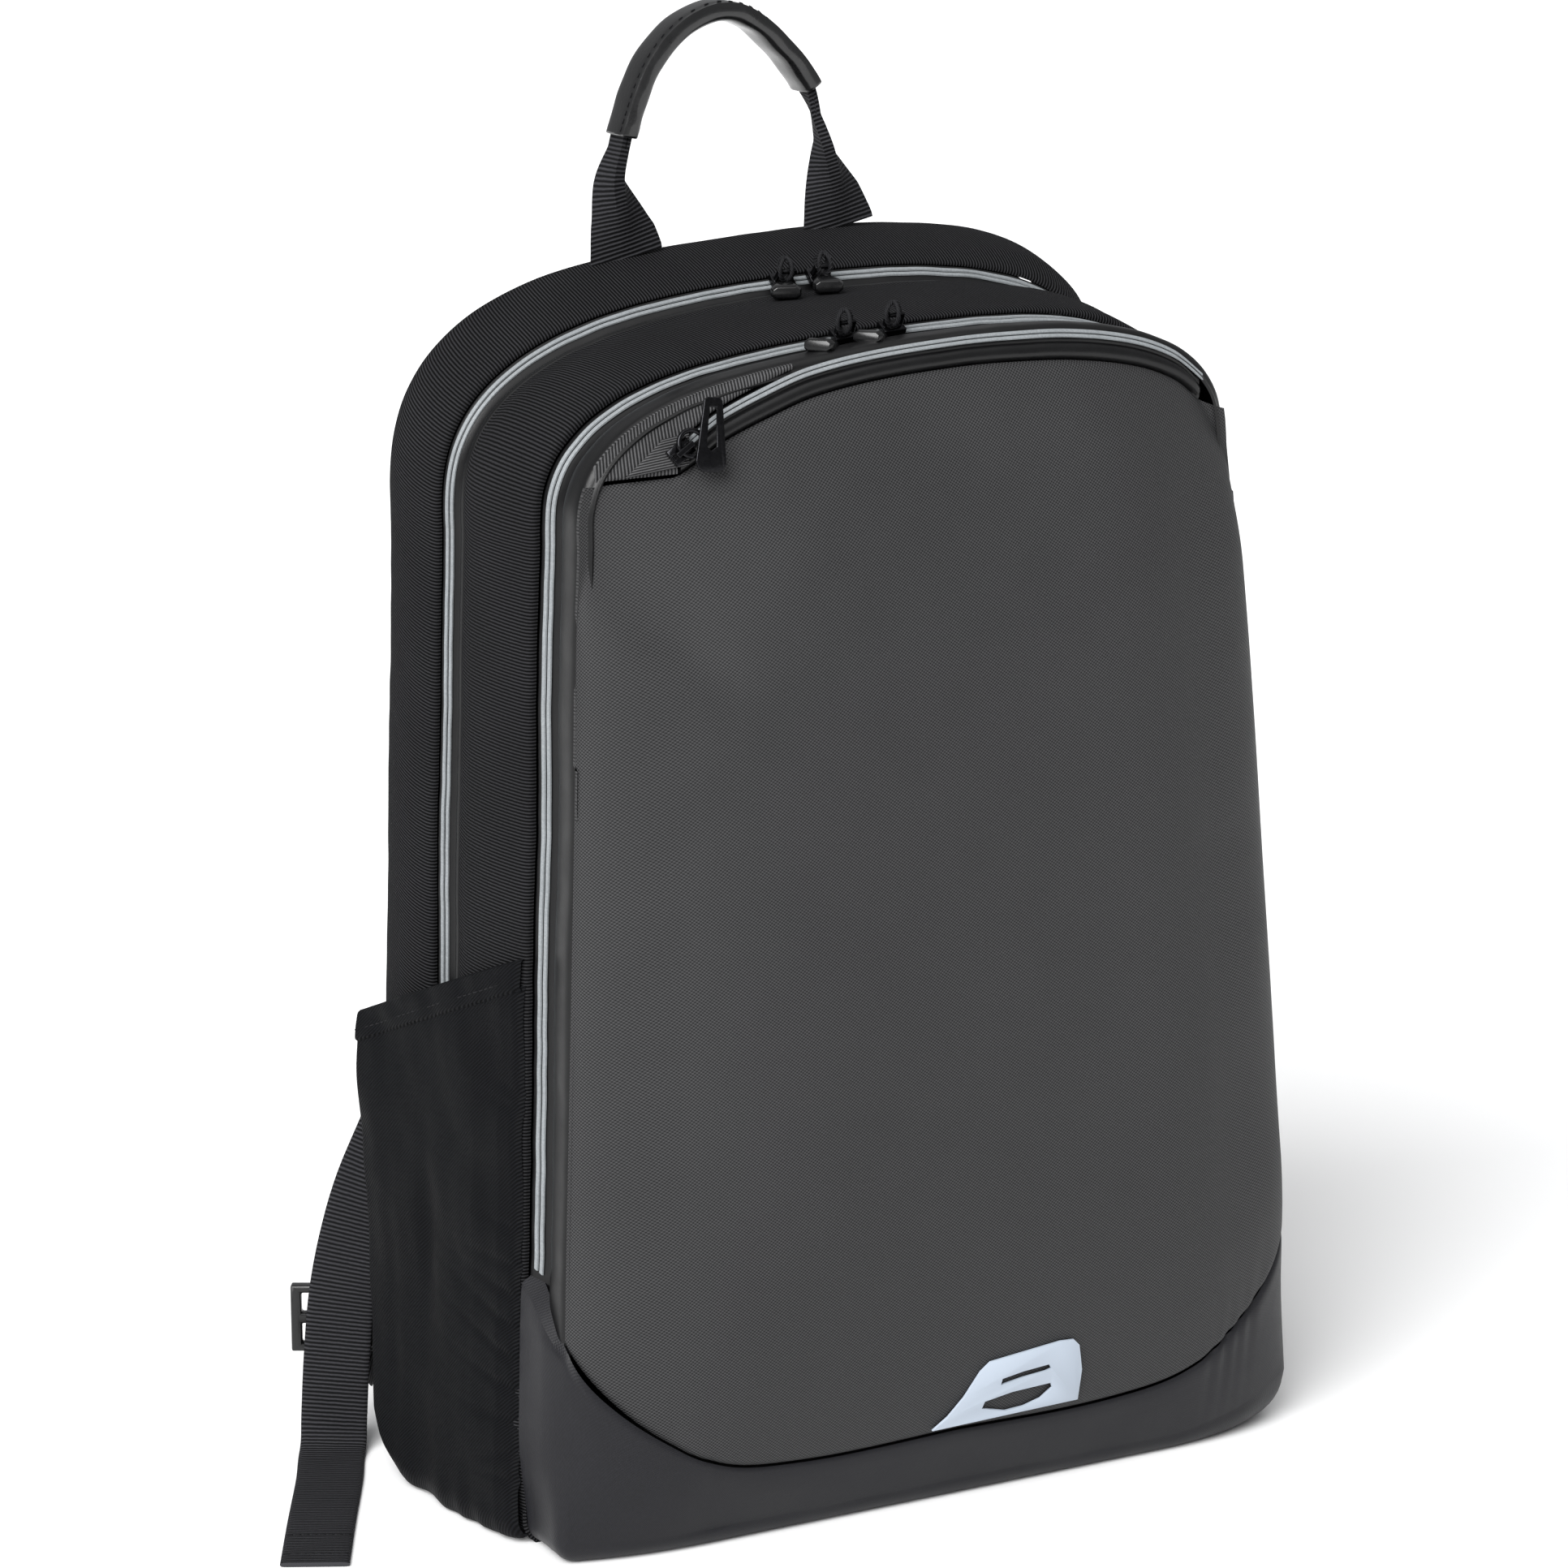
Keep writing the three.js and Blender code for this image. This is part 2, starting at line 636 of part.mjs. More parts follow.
// One column of the base panel: where it stands in plan and its outward direction, by height.
function baseColumns() {
  const columns = [];
  for (const side of [-1, 1]) {
    const sideName = side < 0 ? 'left' : 'right';
    const half = [];
    for (const { y, out } of baseWrap) {
      const seam = lookUp(baseSeamSide, 'y', 'z', y);
      half.push({
        seam,
        at: (z) => {
          const rim = rimAt(y);
          return [side * (sideWidth(rim, z) + out * smooth(0, puff.fadeHeight, z)), y];
        },
        out: y > -50 ? [side, 0] : [side * 0.8, -0.6],
        turn: lookUp(baseWrap, 'y', sideName, y),
      });
    }
    for (const share of baseFrontShares) {
      const x0 = share * baseSeamWidth;
      half.push({
        seam: baseSeamHeight(x0),
        at: (z) => {
          const x = share * sideWidth(frontRim, z);
          const [px, py] = domePoint(x, z);
          return [side * px, py];
        },
        out: unit([side * share ** 6 * 0.9, -1 + 0.5 * share ** 6, 0]).slice(0, 2),
        turn: lookUp(frontTurns, 'share', sideName, share),
      });
    }
    if (side < 0) columns.push(...half);
    else columns.push(...half.slice(0, -1).reverse());
  }
  return columns;
}

function baseSheet(depth) {
  const columns = baseColumns();
  const rows = [];
  for (let r = 0; r < baseRows.length; r += 1) {
    rows.push(
      columns.map(({ seam, at, out, turn }) => {
        const z = mix(turn, seam, baseRows[r]);
        const [x, y] = at(z);
        return [x - out[0] * depth, y - out[1] * depth, z];
      }),
    );
  }
  for (const t of footTurns) {
    const angle = (t * Math.PI) / 2;
    rows.push(
      columns.map(({ at, out, turn }) => {
        const [x, y] = at(turn);
        const inset = turn * (1 - Math.cos(angle)) + depth * Math.cos(angle);
        const z = turn * (1 - Math.sin(angle)) + depth * Math.sin(angle);
        return [x - out[0] * inset, y - out[1] * inset, z];
      }),
    );
  }
  return rows;
}
addSoft(bag, 'base_panel', wallBetween(baseSheet(0), baseSheet(cloth.wall)), 'smoothCoated');

// Bottom panel: closes the bag underneath, flat on the floor and rising round the heel
function bottomRows() {
  const foot = baseSheet(0)[baseRows.length + footTurns.length - 1].map(([x, y]) => ({ x, y }));
  const clear = cloth.seamGap;
  const first = foot.findIndex(({ y }) => y < -52);
  const last = foot.length - 1 - first;
  const front = foot.slice(first, last + 1);
  const wraps = [foot.slice(0, first + 1), foot.slice(last)];
  const halfAt = (wrap, y) => {
    if (y > -30) return outlineAt(y).footX;
    return Math.min(Math.abs(lookUp(wrap, 'y', 'x', y)), outlineAt(-30).footX);
  };
  const edgeRow = (y) => {
    const [left, right] = wraps.map((wrap) => halfAt(wrap, y) - clear);
    return { left: -left, right, depthAt: () => y };
  };
  const frontRow = {
    left: foot[first].x + clear,
    right: foot[last].x - clear,
    depthAt: (x) => lookUp(front, 'x', 'y', x) + clear,
  };
  return [frontRow, ...[-44, -31, 0, 40, 51, 60, 67, 71.6, 74.2].map(edgeRow)];
}
function bottomSheet(lift) {
  return bottomRows().map(({ left, right, depthAt }) =>
    steps(8, left, right).map((x) => {
      const y = depthAt(x);
      const slope = Math.asin(clamp((y - body.heelStart) / body.heelRadius, 0, 0.98));
      return [x, y - lift * Math.sin(slope), undersideAt(y) + lift * Math.cos(slope)];
    }),
  );
}
addSoft(bag, 'bottom_panel', wallBetween(bottomSheet(0), bottomSheet(cloth.wall)), 'smoothCoated');

// Back panel: padded, hidden from the front, finished plainly
const backPanel = { front: 62, edgeBack: 72.4, swell: 6, inset: 1, lift: 40 };
function backSheet(outside) {
  const y = 68;
  const corner = shareAtHeight(y, rimAt(y).height - rimAt(y).arch * 0.42);
  const foot = shareAtHeight(y, backPanel.lift + body.footRadius);
  const rows = 10;
  const columns = 10;
  const edge = (s) => {
    const [x, , z] = wallPoint(y, s, 0, backPanel.inset + cloth.wall + 0.3);
    return [x, z];
  };
  const left = steps(rows, -foot, -corner).map(edge);
  const right = steps(rows, foot, corner).map(edge);
  const top = steps(columns, -corner, corner).map(edge);
  const bottom = steps(columns).map((u) => [
    mix(left[0][0], right[0][0], u),
    mix(left[0][1], backPanel.lift, smooth(0, 0.1, u) * smooth(1, 0.9, u)),
  ]);
  const flat = patch(bottom, top, left, right);
  return flat.map((row, r) =>
    row.map(([x, z], c) => {
      if (!outside) return [x, backPanel.front, z];
      const inward = Math.min(r, rows - r, 3) / 3;
      const across = Math.min(c, columns - c, 3) / 3;
      return [x, backPanel.edgeBack + backPanel.swell * inward * across, z];
    }),
  );
}
addSoft(bag, 'back_panel', wallBetween(backSheet(true), backSheet(false)), 'mesh');

// Side pockets: open at the top, standing off the side, gathered into the bottom
const pocket = {
  front: -29.4,
  back: 74,
  hemAtCentre: 211,
  hemSlope: -0.41,
  hemHeight: 10,
  thickness: 1.6,
  hemExtra: 0.4, // the folded hem is this much thicker on each face
  bottom: 4, // height of its lower edge above the bag's underside
};
const pocketColumns = [
  { y: -29.4, top: 6.4, bottom: 6 },
  { y: -20, top: 8.8, bottom: 8.6 },
  { y: -5, top: 10.8, bottom: 9.6 },
  { y: 12, top: 12, bottom: 9.2 },
  { y: 30, top: 13, bottom: 8.4 },
  { y: 48, top: 13.8, bottom: 8 },
  { y: 62, top: 14.4, bottom: 7 },
  { y: 70, top: 14.4, bottom: 6.4 },
  { y: 73.6, top: 11, bottom: 4.8 },
];
const hemHeight = (y) => pocket.hemAtCentre + pocket.hemSlope * y;

function pocketSheet(side, depth, fromHeight, toHeight, rows) {
  return steps(rows).map((v) =>
    pocketColumns.map((column) => {
      const z = mix(fromHeight(column.y), toHeight(column.y), v);
      const share = shareAtHeight(column.y, z);
      const out = mix(column.bottom, column.top, smooth(30, hemHeight(column.y), z));
      const p = outlinePoint(column.y, side * share);
      const push = out - depth;
      const fold = 1.6 * Math.exp(-(((column.y - 28) / 7) ** 2) - ((z - 105) / 40) ** 2);
      return [p.x + p.nx * (push - fold), column.y, Math.max(p.z + p.nz * (push - fold), 0.3 + depth)];
    }),
  );
}
for (const [sideName, side] of [['left', -1], ['right', 1]]) {
  const low = (y) => undersideAt(y) + pocket.bottom;
  const join = (y) => hemHeight(y) - pocket.hemHeight;
  const [wall, wallInside] = [0, pocket.thickness].map((depth) =>
    pocketSheet(side, depth, join, low, 8),
  );
  addSoft(pockets, `${sideName}_side_pocket`, wallBetween(wall, wallInside), 'pocketCloth');
  const hemFoot = (y) => join(y) + 0.6;
  const [hem, hemInside] = [-pocket.hemExtra, pocket.thickness + pocket.hemExtra].map((depth) =>
    pocketSheet(side, depth, hemHeight, hemFoot, 1),
  );
  addSoft(pockets, `${sideName}_pocket_hem`, wallBetween(hem, hemInside), 'pocketCloth');
}

// Reflective tab on the lower front, with a straight slot and a crescent slot
const tabOutline = [
  [-13, 32.4], [-7, 37], [-1, 44], [5, 53.5], [9, 56.8], [24, 58.2], [39, 59.6], [45, 59.2],
  [47.6, 56.6], [50, 46], [50, 33.4],
];
const tabSlots = [
  [[14.5, 46.2], [15, 48.8], [24, 50.2], [35, 51], [36.2, 49], [34, 48.4], [24, 47.6]],
  [[7.4, 37.8], [8.4, 40.6], [20, 42.4], [36.6, 43], [37.6, 40.8], [33, 37.2], [26, 35.2], [18, 34.8]],
];
const reflectiveTab = { thickness: 0.9, clearance: 0.6 };

// Shape with slots from lists of [x, y] points.
function slottedShape(outline, slots) {
  const asVectors = (loop, clockwise) => {
    const points = loop.map(([a, b]) => new THREE.Vector2(a, b));
    return THREE.ShapeUtils.isClockWise(points) === clockwise ? points : points.reverse();
  };
  const shape = new THREE.Shape(asVectors(outline, false));
  shape.holes = slots.map((slot) => new THREE.Path(asVectors(slot, true)));
  return shape;
}

// Moves every point of a geometry through a function of [x, y, z].
function bent(geometry, place) {
  const { position } = geometry.attributes;
  for (let i = 0; i < position.count; i += 1) {
    position.setXYZ(i, ...place([position.getX(i), position.getY(i), position.getZ(i)]));
  }
  geometry.computeVertexNormals();
  return geometry;
}

const tabPlate = new THREE.ExtrudeGeometry(slottedShape(tabOutline, tabSlots), {
  depth: reflectiveTab.thickness,
  bevelEnabled: false,
});
bent(tabPlate, ([x, z, lift]) => settle(domePoint(x, z, reflectiveTab.clearance + lift)));
addMesh(trim, 'reflective_tab', tabPlate, 'reflective');

// Handle: flat webbing at its feet, folded in half and turned edge-on inside the grip
const handle = {
  y: 69,
  gripWall: 0.9,
  gripFrom: 0.27,
  gripTo: 0.735,
};
const handlePath = [
  { share: 0, x: -44, z: 454.6, turn: 0, fold: 0, width: 30, thickness: 2 },
  { share: 0.08, x: -46, z: 466, turn: 0, fold: 48, width: 30, thickness: 2 },
  { share: 0.16, x: -48, z: 480, turn: 0, fold: 76, width: 27, thickness: 1.9 },
  { share: 0.24, x: -45.5, z: 492, turn: 0, fold: 90, width: 22, thickness: 1.6 },
  { share: 0.32, x: -41, z: 505, turn: 0, fold: 90, width: 22, thickness: 1.6 },
  { share: 0.4, x: -33, z: 521, turn: 0, fold: 90, width: 22, thickness: 1.6 },
  { share: 0.47, x: -20, z: 533, turn: 0, fold: 90, width: 22, thickness: 1.6 },
  { share: 0.52, x: -5, z: 537.5, turn: 0, fold: 90, width: 22, thickness: 1.6 },
  { share: 0.58, x: 9, z: 533, turn: 0, fold: 90, width: 22, thickness: 1.6 },
  { share: 0.65, x: 22, z: 521, turn: 0, fold: 90, width: 22, thickness: 1.6 },
  { share: 0.72, x: 32, z: 508, turn: 0, fold: 90, width: 22, thickness: 1.6 },
  { share: 0.8, x: 37.5, z: 495, turn: -26, fold: 90, width: 22, thickness: 1.6 },
  { share: 0.88, x: 41, z: 482, turn: -12, fold: 84, width: 26, thickness: 1.9 },
  { share: 0.95, x: 44, z: 467, turn: 0, fold: 58, width: 30, thickness: 2 },
  { share: 1, x: 46, z: 454.8, turn: 0, fold: 0, width: 30, thickness: 2 },
];

// Smooth value of a column between the rows of a path table.
function smoothLookUp(table, at, column, value) {
  const last = table.length - 1;
  let i = 0;
  while (i < last - 1 && table[i + 1][at] < value) i += 1;
  const p = [i - 1, i, i + 1, i + 2].map((k) => table[clamp(k, 0, last)]);
  const t = clamp((value - p[1][at]) / (p[2][at] - p[1][at]), 0, 1);
  const m1 = (p[2][column] - p[0][column]) / ((p[2][at] - p[0][at]) || 1);
  const m2 = (p[3][column] - p[1][column]) / ((p[3][at] - p[1][at]) || 1);
  const h = p[2][at] - p[1][at];
  const t2 = t * t;
  const t3 = t2 * t;
  return (
    (2 * t3 - 3 * t2 + 1) * p[1][column] +
    (t3 - 2 * t2 + t) * h * m1 +
    (-2 * t3 + 3 * t2) * p[2][column] +
    (t3 - t2) * h * m2
  );
}

const handleAt = (share) => ({
  x: smoothLookUp(handlePath, 'share', 'x', share),
  z: smoothLookUp(handlePath, 'share', 'z', share),
  turn: (lookUp(handlePath, 'share', 'turn', share) * Math.PI) / 180,
  fold: (lookUp(handlePath, 'share', 'fold', share) * Math.PI) / 180,
  width: lookUp(handlePath, 'share', 'width', share),
  thickness: lookUp(handlePath, 'share', 'thickness', share),
});

// Frame of the handle at a share of its length: along, outward and depthwise directions.
function handleFrame(share) {
  const here = handleAt(share);
  const before = handleAt(Math.max(0, share - 0.01));
  const after = handleAt(Math.min(1, share + 0.01));
  const along = unit([after.x - before.x, 0, after.z - before.z]);
  const outward = cross(along, [0, 1, 0]);
  return { ...here, origin: [here.x, handle.y, here.z], along, outward };
}

function handleRing(share) {
  const { origin, outward, turn, fold, width, thickness } = handleFrame(share);
  const depthwise = [0, 1, 0];
  // The width runs along the top of the bag at the feet and folds in half toward the back.
  const across = unit(add(outward.map((v) => v * Math.cos(turn)), depthwise, Math.sin(turn)));
  const facing = unit(add(outward.map((v) => -v * Math.sin(turn)), depthwise, Math.cos(turn)));
  const half = width / 2;
  const lay = thickness / 2;
  const points = [];
  const place = (w, side) => {
    const sign = Math.sign(w) || 1;
    const reach = Math.abs(w);
    const a = sign * reach * Math.cos(fold);
    const b = reach * Math.sin(fold) - (half / 2) * Math.sin(fold);
    const na = -sign * Math.sin(fold) * side;
    const nb = Math.cos(fold) * side;
    const spread1 = Math.sin(fold) * (lay + 0.15) * sign;
    return add(add(origin, across, a + na * lay + spread1), facing, b + nb * lay);
  };
  for (const w of [-half, -half / 2, -0.8]) points.push(place(w, -1));
  for (const w of [0.8, half / 2, half]) points.push(place(w, -1));
  for (const w of [half, half / 2, 0.8]) points.push(place(w, 1));
  for (const w of [-0.8, -half / 2, -half]) points.push(place(w, 1));
  return points;
}

function gripRing(share, grow) {
  const { origin, outward } = handleFrame(share);
  const depth = 7.1 + grow;
  const lay = 3 + grow;
  return steps(10).slice(0, 10).map((t) => {
    const angle = t * 2 * Math.PI;
    const c = Math.cos(angle);
    const s = Math.sin(angle);
    const p = add(origin, [0, 1, 0], Math.sign(c) * Math.abs(c) ** 0.6 * depth);
    return add(p, outward, Math.sign(s) * Math.abs(s) ** 0.7 * lay);
  });
}
function gripRings(grow) {
  return steps(13, handle.gripFrom, handle.gripTo).map((share) => gripRing(share, grow));
}
const grip = tubeBetween(gripRings(handle.gripWall), gripRings(0));
addSoft(carryHandle, 'handle_grip', grip, 'leatherette');

// The webbing runs through the grip as one flat-folded strip.
function stripEnds(ring) {
  const n = ring.length;
  const half = n / 2;
  const triangles = [];
  for (let i = 0; i < half - 1; i += 1) {
    const a = ring[i];
    const b = ring[i + 1];
    const c = ring[n - 2 - i];
    const d = ring[n - 1 - i];
    triangles.push([a, b, c], [a, c, d]);
  }
  return triangles;
}
function stripThrough(rings) {
  return [
    ...quadTriangles(rings, true),
    ...reversed(stripEnds(rings[0])),
    ...stripEnds(rings[rings.length - 1]),
  ];
}
addSoft(carryHandle, 'handle_webbing', stripThrough(steps(28).map(handleRing)), 'webbing');

// Straps: a flat strip through a table of stations, its width lying along `turn` in plan
function stripSheetRings(stations, steps2, shape = null) {
  const last = stations.length - 1;
  const table = stations.map((station, i) => ({ ...station, share: i / last }));
  const at = (share, column) => smoothLookUp(table, 'share', column, share);
  return steps(steps2).map((share) => {
    const here = ['x', 'y', 'z'].map((column) => at(share, column));
    const ahead = ['x', 'y', 'z'].map((column) => at(Math.min(1, share + 0.004), column));
    const behind = ['x', 'y', 'z'].map((column) => at(Math.max(0, share - 0.004), column));
    const along = unit(sub(ahead, behind));
    const turn = (at(share, 'turn') * Math.PI) / 180;
    const level = [Math.cos(turn), Math.sin(turn), 0];
    const dot = level[0] * along[0] + level[1] * along[1] + level[2] * along[2];
    const across = unit(add(level, along, -dot));
    const facing = cross(along, across);
    const halfWidth = at(share, 'width') / 2;
    const halfThick = at(share, 'thickness') / 2;
    const profile = shape || flatProfile;
    return profile.map(([a, b]) =>
      add(add(here, across, a * halfWidth), facing, b * halfThick),
    );
  });
}
const flatProfile = [[-1, -1], [0, -1], [1, -1], [1, 1], [0, 1], [-1, 1]];
const padProfile = [
  [-1, -0.35], [-0.8, -1], [0, -1.1], [0.8, -1], [1, -0.35],
  [1, 0.35], [0.8, 1], [0, 1.1], [-0.8, 1], [-1, 0.35],
];
const webbing = { width: 25, thickness: 1.8, floorLift: 0.95 };
const strapTurn = (31 * Math.PI) / 180; // the lower straps face forward and outward by this

const padTop = { z: 421, thickness: 8 };
const padTopDepth = backPanel.edgeBack + 0.9 + cloth.gap + padTop.thickness * 0.55;
const strapPad = [
  { x: 60, y: padTopDepth, z: padTop.z, width: 52, thickness: padTop.thickness },
  { x: 64, y: 91, z: 406, width: 60, thickness: 10 },
  { x: 72, y: 103, z: 372, width: 62, thickness: 11 },
  { x: 84, y: 108, z: 320, width: 60, thickness: 11 },
  { x: 94, y: 107, z: 270, width: 52, thickness: 10 },
  { x: 104, y: 102, z: 226, width: 38, thickness: 8 },
];
const padFoot = strapPad[strapPad.length - 1];
const ladderLock = { x: 166.5, y: 102.8, z: 52, width: 34, height: 26, thickness: 5, bar: 4 };

// A station of webbing that runs through or near the ladder lock, told by its offset from it
function nearLock(x, y, z, turn = undefined) {
  return { x: ladderLock.x + x, y: ladderLock.y + y, z: ladderLock.z + z, turn };
}

// A station of a loose end on the floor, its place across told from the ladder lock
function onFloor(x, y, turn) {
  return { x: ladderLock.x + x, y, z: webbing.floorLift, turn };
}

const strapWebbing = [
  { x: padFoot.x + 0.2, y: padFoot.y - 0.2, z: padFoot.z - 2 * cloth.gap },
  { x: 111, y: 98, z: 204 },
  { x: 128, y: 94, z: 160 },
  { x: 141, y: 94, z: 132 },
  { x: 154, y: 95, z: 106 },
  nearLock(-5.5, -5.8, 32),
  nearLock(-0.5, -4.8, 10),
  nearLock(2.5, -3.8, -15),
  nearLock(4.5, -3.3, -38),
];
const tailBend = { z: 4 };
const seenTail = [
  { x: ladderLock.x + 6.5, y: 97, z: tailBend.z, turn: 31 },
  onFloor(12.5, 87, 31),
  onFloor(23.5, 66, 30),
  onFloor(45.5, 27, 30),
  onFloor(66.5, -11, 29),
];
const tuckedTail = [
  { x: ladderLock.x + 2.5, y: 104, z: tailBend.z, turn: -45 },
  onFloor(-6.5, 110, -62),
  onFloor(-30.5, 119, -68),
  onFloor(-70.5, 132, -71),
  onFloor(-110.5, 146, -71),
];
const anchorWebbing = [
  { x: 132, y: backPanel.edgeBack + cloth.gap + webbing.thickness / 2, z: 58, turn: 0 },
  { x: 133, y: 77.5, z: 44, turn: 6 },
  { x: 137, y: 91, z: 34, turn: 20 },
  nearLock(-20.5, 4.2, -21),
  nearLock(-8.5, 8.6, -15),
  nearLock(-2.2, 3.9, -2),
];

function mirrored(stations, side) {
  return stations.map((station) => ({
    ...station,
    x: station.x * side,
    turn: (station.turn ?? 31) * side,
    width: station.width ?? webbing.width,
    thickness: station.thickness ?? webbing.thickness,
  }));
}

for (const [sideName, side] of [['left', -1], ['right', 1]]) {
  const padStations = mirrored(strapPad, side).map((station) => ({ ...station, turn: 12 * side }));
  const pad = rodThrough(stripSheetRings(padStations, 14, padProfile));
  addSoft(straps, `${sideName}_strap_pad`, pad, 'mesh');
  const tail = side < 0 ? seenTail : tuckedTail;
  const strap = stripThrough(stripSheetRings(mirrored([...strapWebbing, ...tail], side), 29));
  addSoft(straps, `${sideName}_strap_webbing`, strap, 'webbing');
  const anchor = stripThrough(stripSheetRings(mirrored(anchorWebbing, side), 14));
  addSoft(straps, `${sideName}_anchor_webbing`, anchor, 'webbing');
}

// Hard pieces are made in a frame of their own, then placed and turned whole
const wasm = await Module();
wasm.setup();

function solidFrom(geometry) {
  const bare = geometry.clone();
  bare.deleteAttribute('normal');
  bare.deleteAttribute('uv');
  const merged = mergeVertices(bare, 1e-5);
  return new wasm.Manifold(
    new wasm.Mesh({
      numProp: 3,
      vertProperties: new Float32Array(merged.attributes.position.array),
      triVerts: new Uint32Array(merged.index.array),
    }),
  );
}

function geometryFrom(solid) {
  const { vertProperties, triVerts } = solid.getMesh();
  const geometry = new THREE.BufferGeometry();
  geometry.setAttribute('position', new THREE.BufferAttribute(vertProperties, 3));
  geometry.setIndex(new THREE.BufferAttribute(triVerts, 1));
  geometry.computeVertexNormals();
  return geometry;
}

const boxAt = (size, centre) => solidFrom(new THREE.BoxGeometry(...size).translate(...centre));

// Sets a mesh at a point with its own X along `along` and its own Z along `up`.
function placeMesh(mesh, origin, along, up) {
  const z = new THREE.Vector3(...up).normalize();
  const y = new THREE.Vector3(...cross(up, along)).normalize();
  const x = new THREE.Vector3().crossVectors(y, z);
  mesh.position.set(...origin);
  mesh.quaternion.setFromRotationMatrix(new THREE.Matrix4().makeBasis(x, y, z));
}

// Ladder locks of the lower straps: a flat frame with three bars
function ladderLockSolid() {
  const { width, height, thickness, bar } = ladderLock;
  const opening = [width - 2 * bar, thickness * 2, height / 2 - bar * 1.25];
  const middles = [-1, 1].map((k) => [0, 0, (k * (height - bar / 2)) / 4]);
  return middles.reduce(
    (frame, middle) => frame.subtract(boxAt(opening, middle)),
    boxAt([width, thickness, height], [0, 0, 0]),
  );
}
const lockGeometry = geometryFrom(ladderLockSolid());
for (const [sideName, side] of [['left', -1], ['right', 1]]) {
  const lock = addMesh(straps, `${sideName}_ladder_lock`, lockGeometry.clone(), 'plastic');
  lock.position.set(...settle([side * ladderLock.x, ladderLock.y, ladderLock.z]));
  lock.rotation.z = side * strapTurn;
}

// Zipper sliders: a flat body with a hoop on top
const slider = { length: 9, width: 6.4, height: 2.4, hoopRise: 4.6, hoopRod: 1.2, hoopSpan: 6.4 };
function sliderSolid() {
  const { length, width, height, hoopRise, hoopRod, hoopSpan } = slider;
  const depth = hoopRod * 1.6;
  const legs = [-1, 1].map((k) =>
    boxAt([hoopRod, depth, hoopRise + 0.4], [(k * hoopSpan) / 2, 0, height + hoopRise / 2 - 0.2]),
  );
  return boxAt([length, width, height], [0, 0, height / 2])
    .add(legs[0])
    .add(legs[1])
    .add(boxAt([hoopSpan + hoopRod, depth, hoopRod], [0, 0, height + hoopRise]));
}
const sliderGeometry = geometryFrom(sliderSolid());
const hoopCentre = slider.height + (slider.hoopRise - slider.hoopRod / 2) / 2;

// Pulls of the two long zippers: a loop of cord in the hoop and a moulded end on the cord
const cordLoop = { radius: 4.1, rod: 0.8 };
const pullEnd = { length: 13, neck: 6.4, foot: 11.4, thickness: 5.4, reach: 11.4 };
const pullSections = [
  { at: -0.5, width: pullEnd.neck, share: 0.7 },
  { at: -0.3, width: pullEnd.neck * 1.2, share: 1 },
  { at: 0.3, width: pullEnd.foot, share: 1 },
  { at: 0.5, width: pullEnd.foot * 0.86, share: 0.72 },
];
const roundedSection = [
  [-1, -0.5], [-0.7, -1], [0.7, -1], [1, -0.5], [1, 0.5], [0.7, 1], [-0.7, 1], [-1, 0.5],
];
const pullEndRings = pullSections.map(({ at, width, share }) =>
  roundedSection.map(([a, b]) => [
    at * pullEnd.length,
    (a * width) / 2,
    (b * pullEnd.thickness * share) / 2,
  ]),
);

// Heading is the angle in plan that the end points to, from straight ahead toward the right.
const pulls = [
  { zip: 'rear', side: 'left', x: 2, heading: -25, rise: 0.6 },
  { zip: 'rear', side: 'right', x: 17.5, heading: -20, rise: 0.6 },
  { zip: 'main', side: 'left', x: -14, heading: -52, rise: 0.8 },
  { zip: 'main', side: 'right', x: 6, heading: -52, rise: 0.8 },
];
const steepestCord = -34;
const zipSlopes = { rear: rearTapeRows, main: mainTapeRows };
const clothAhead = { rear: middleGussetRows, main: mainTapeRows };
const ahead = (degrees) => {
  const angle = (degrees * Math.PI) / 180;
  return [Math.sin(angle), -Math.cos(angle), 0];
};
const onWall = (y, s, out) => settle(wallPoint(y, s, out));

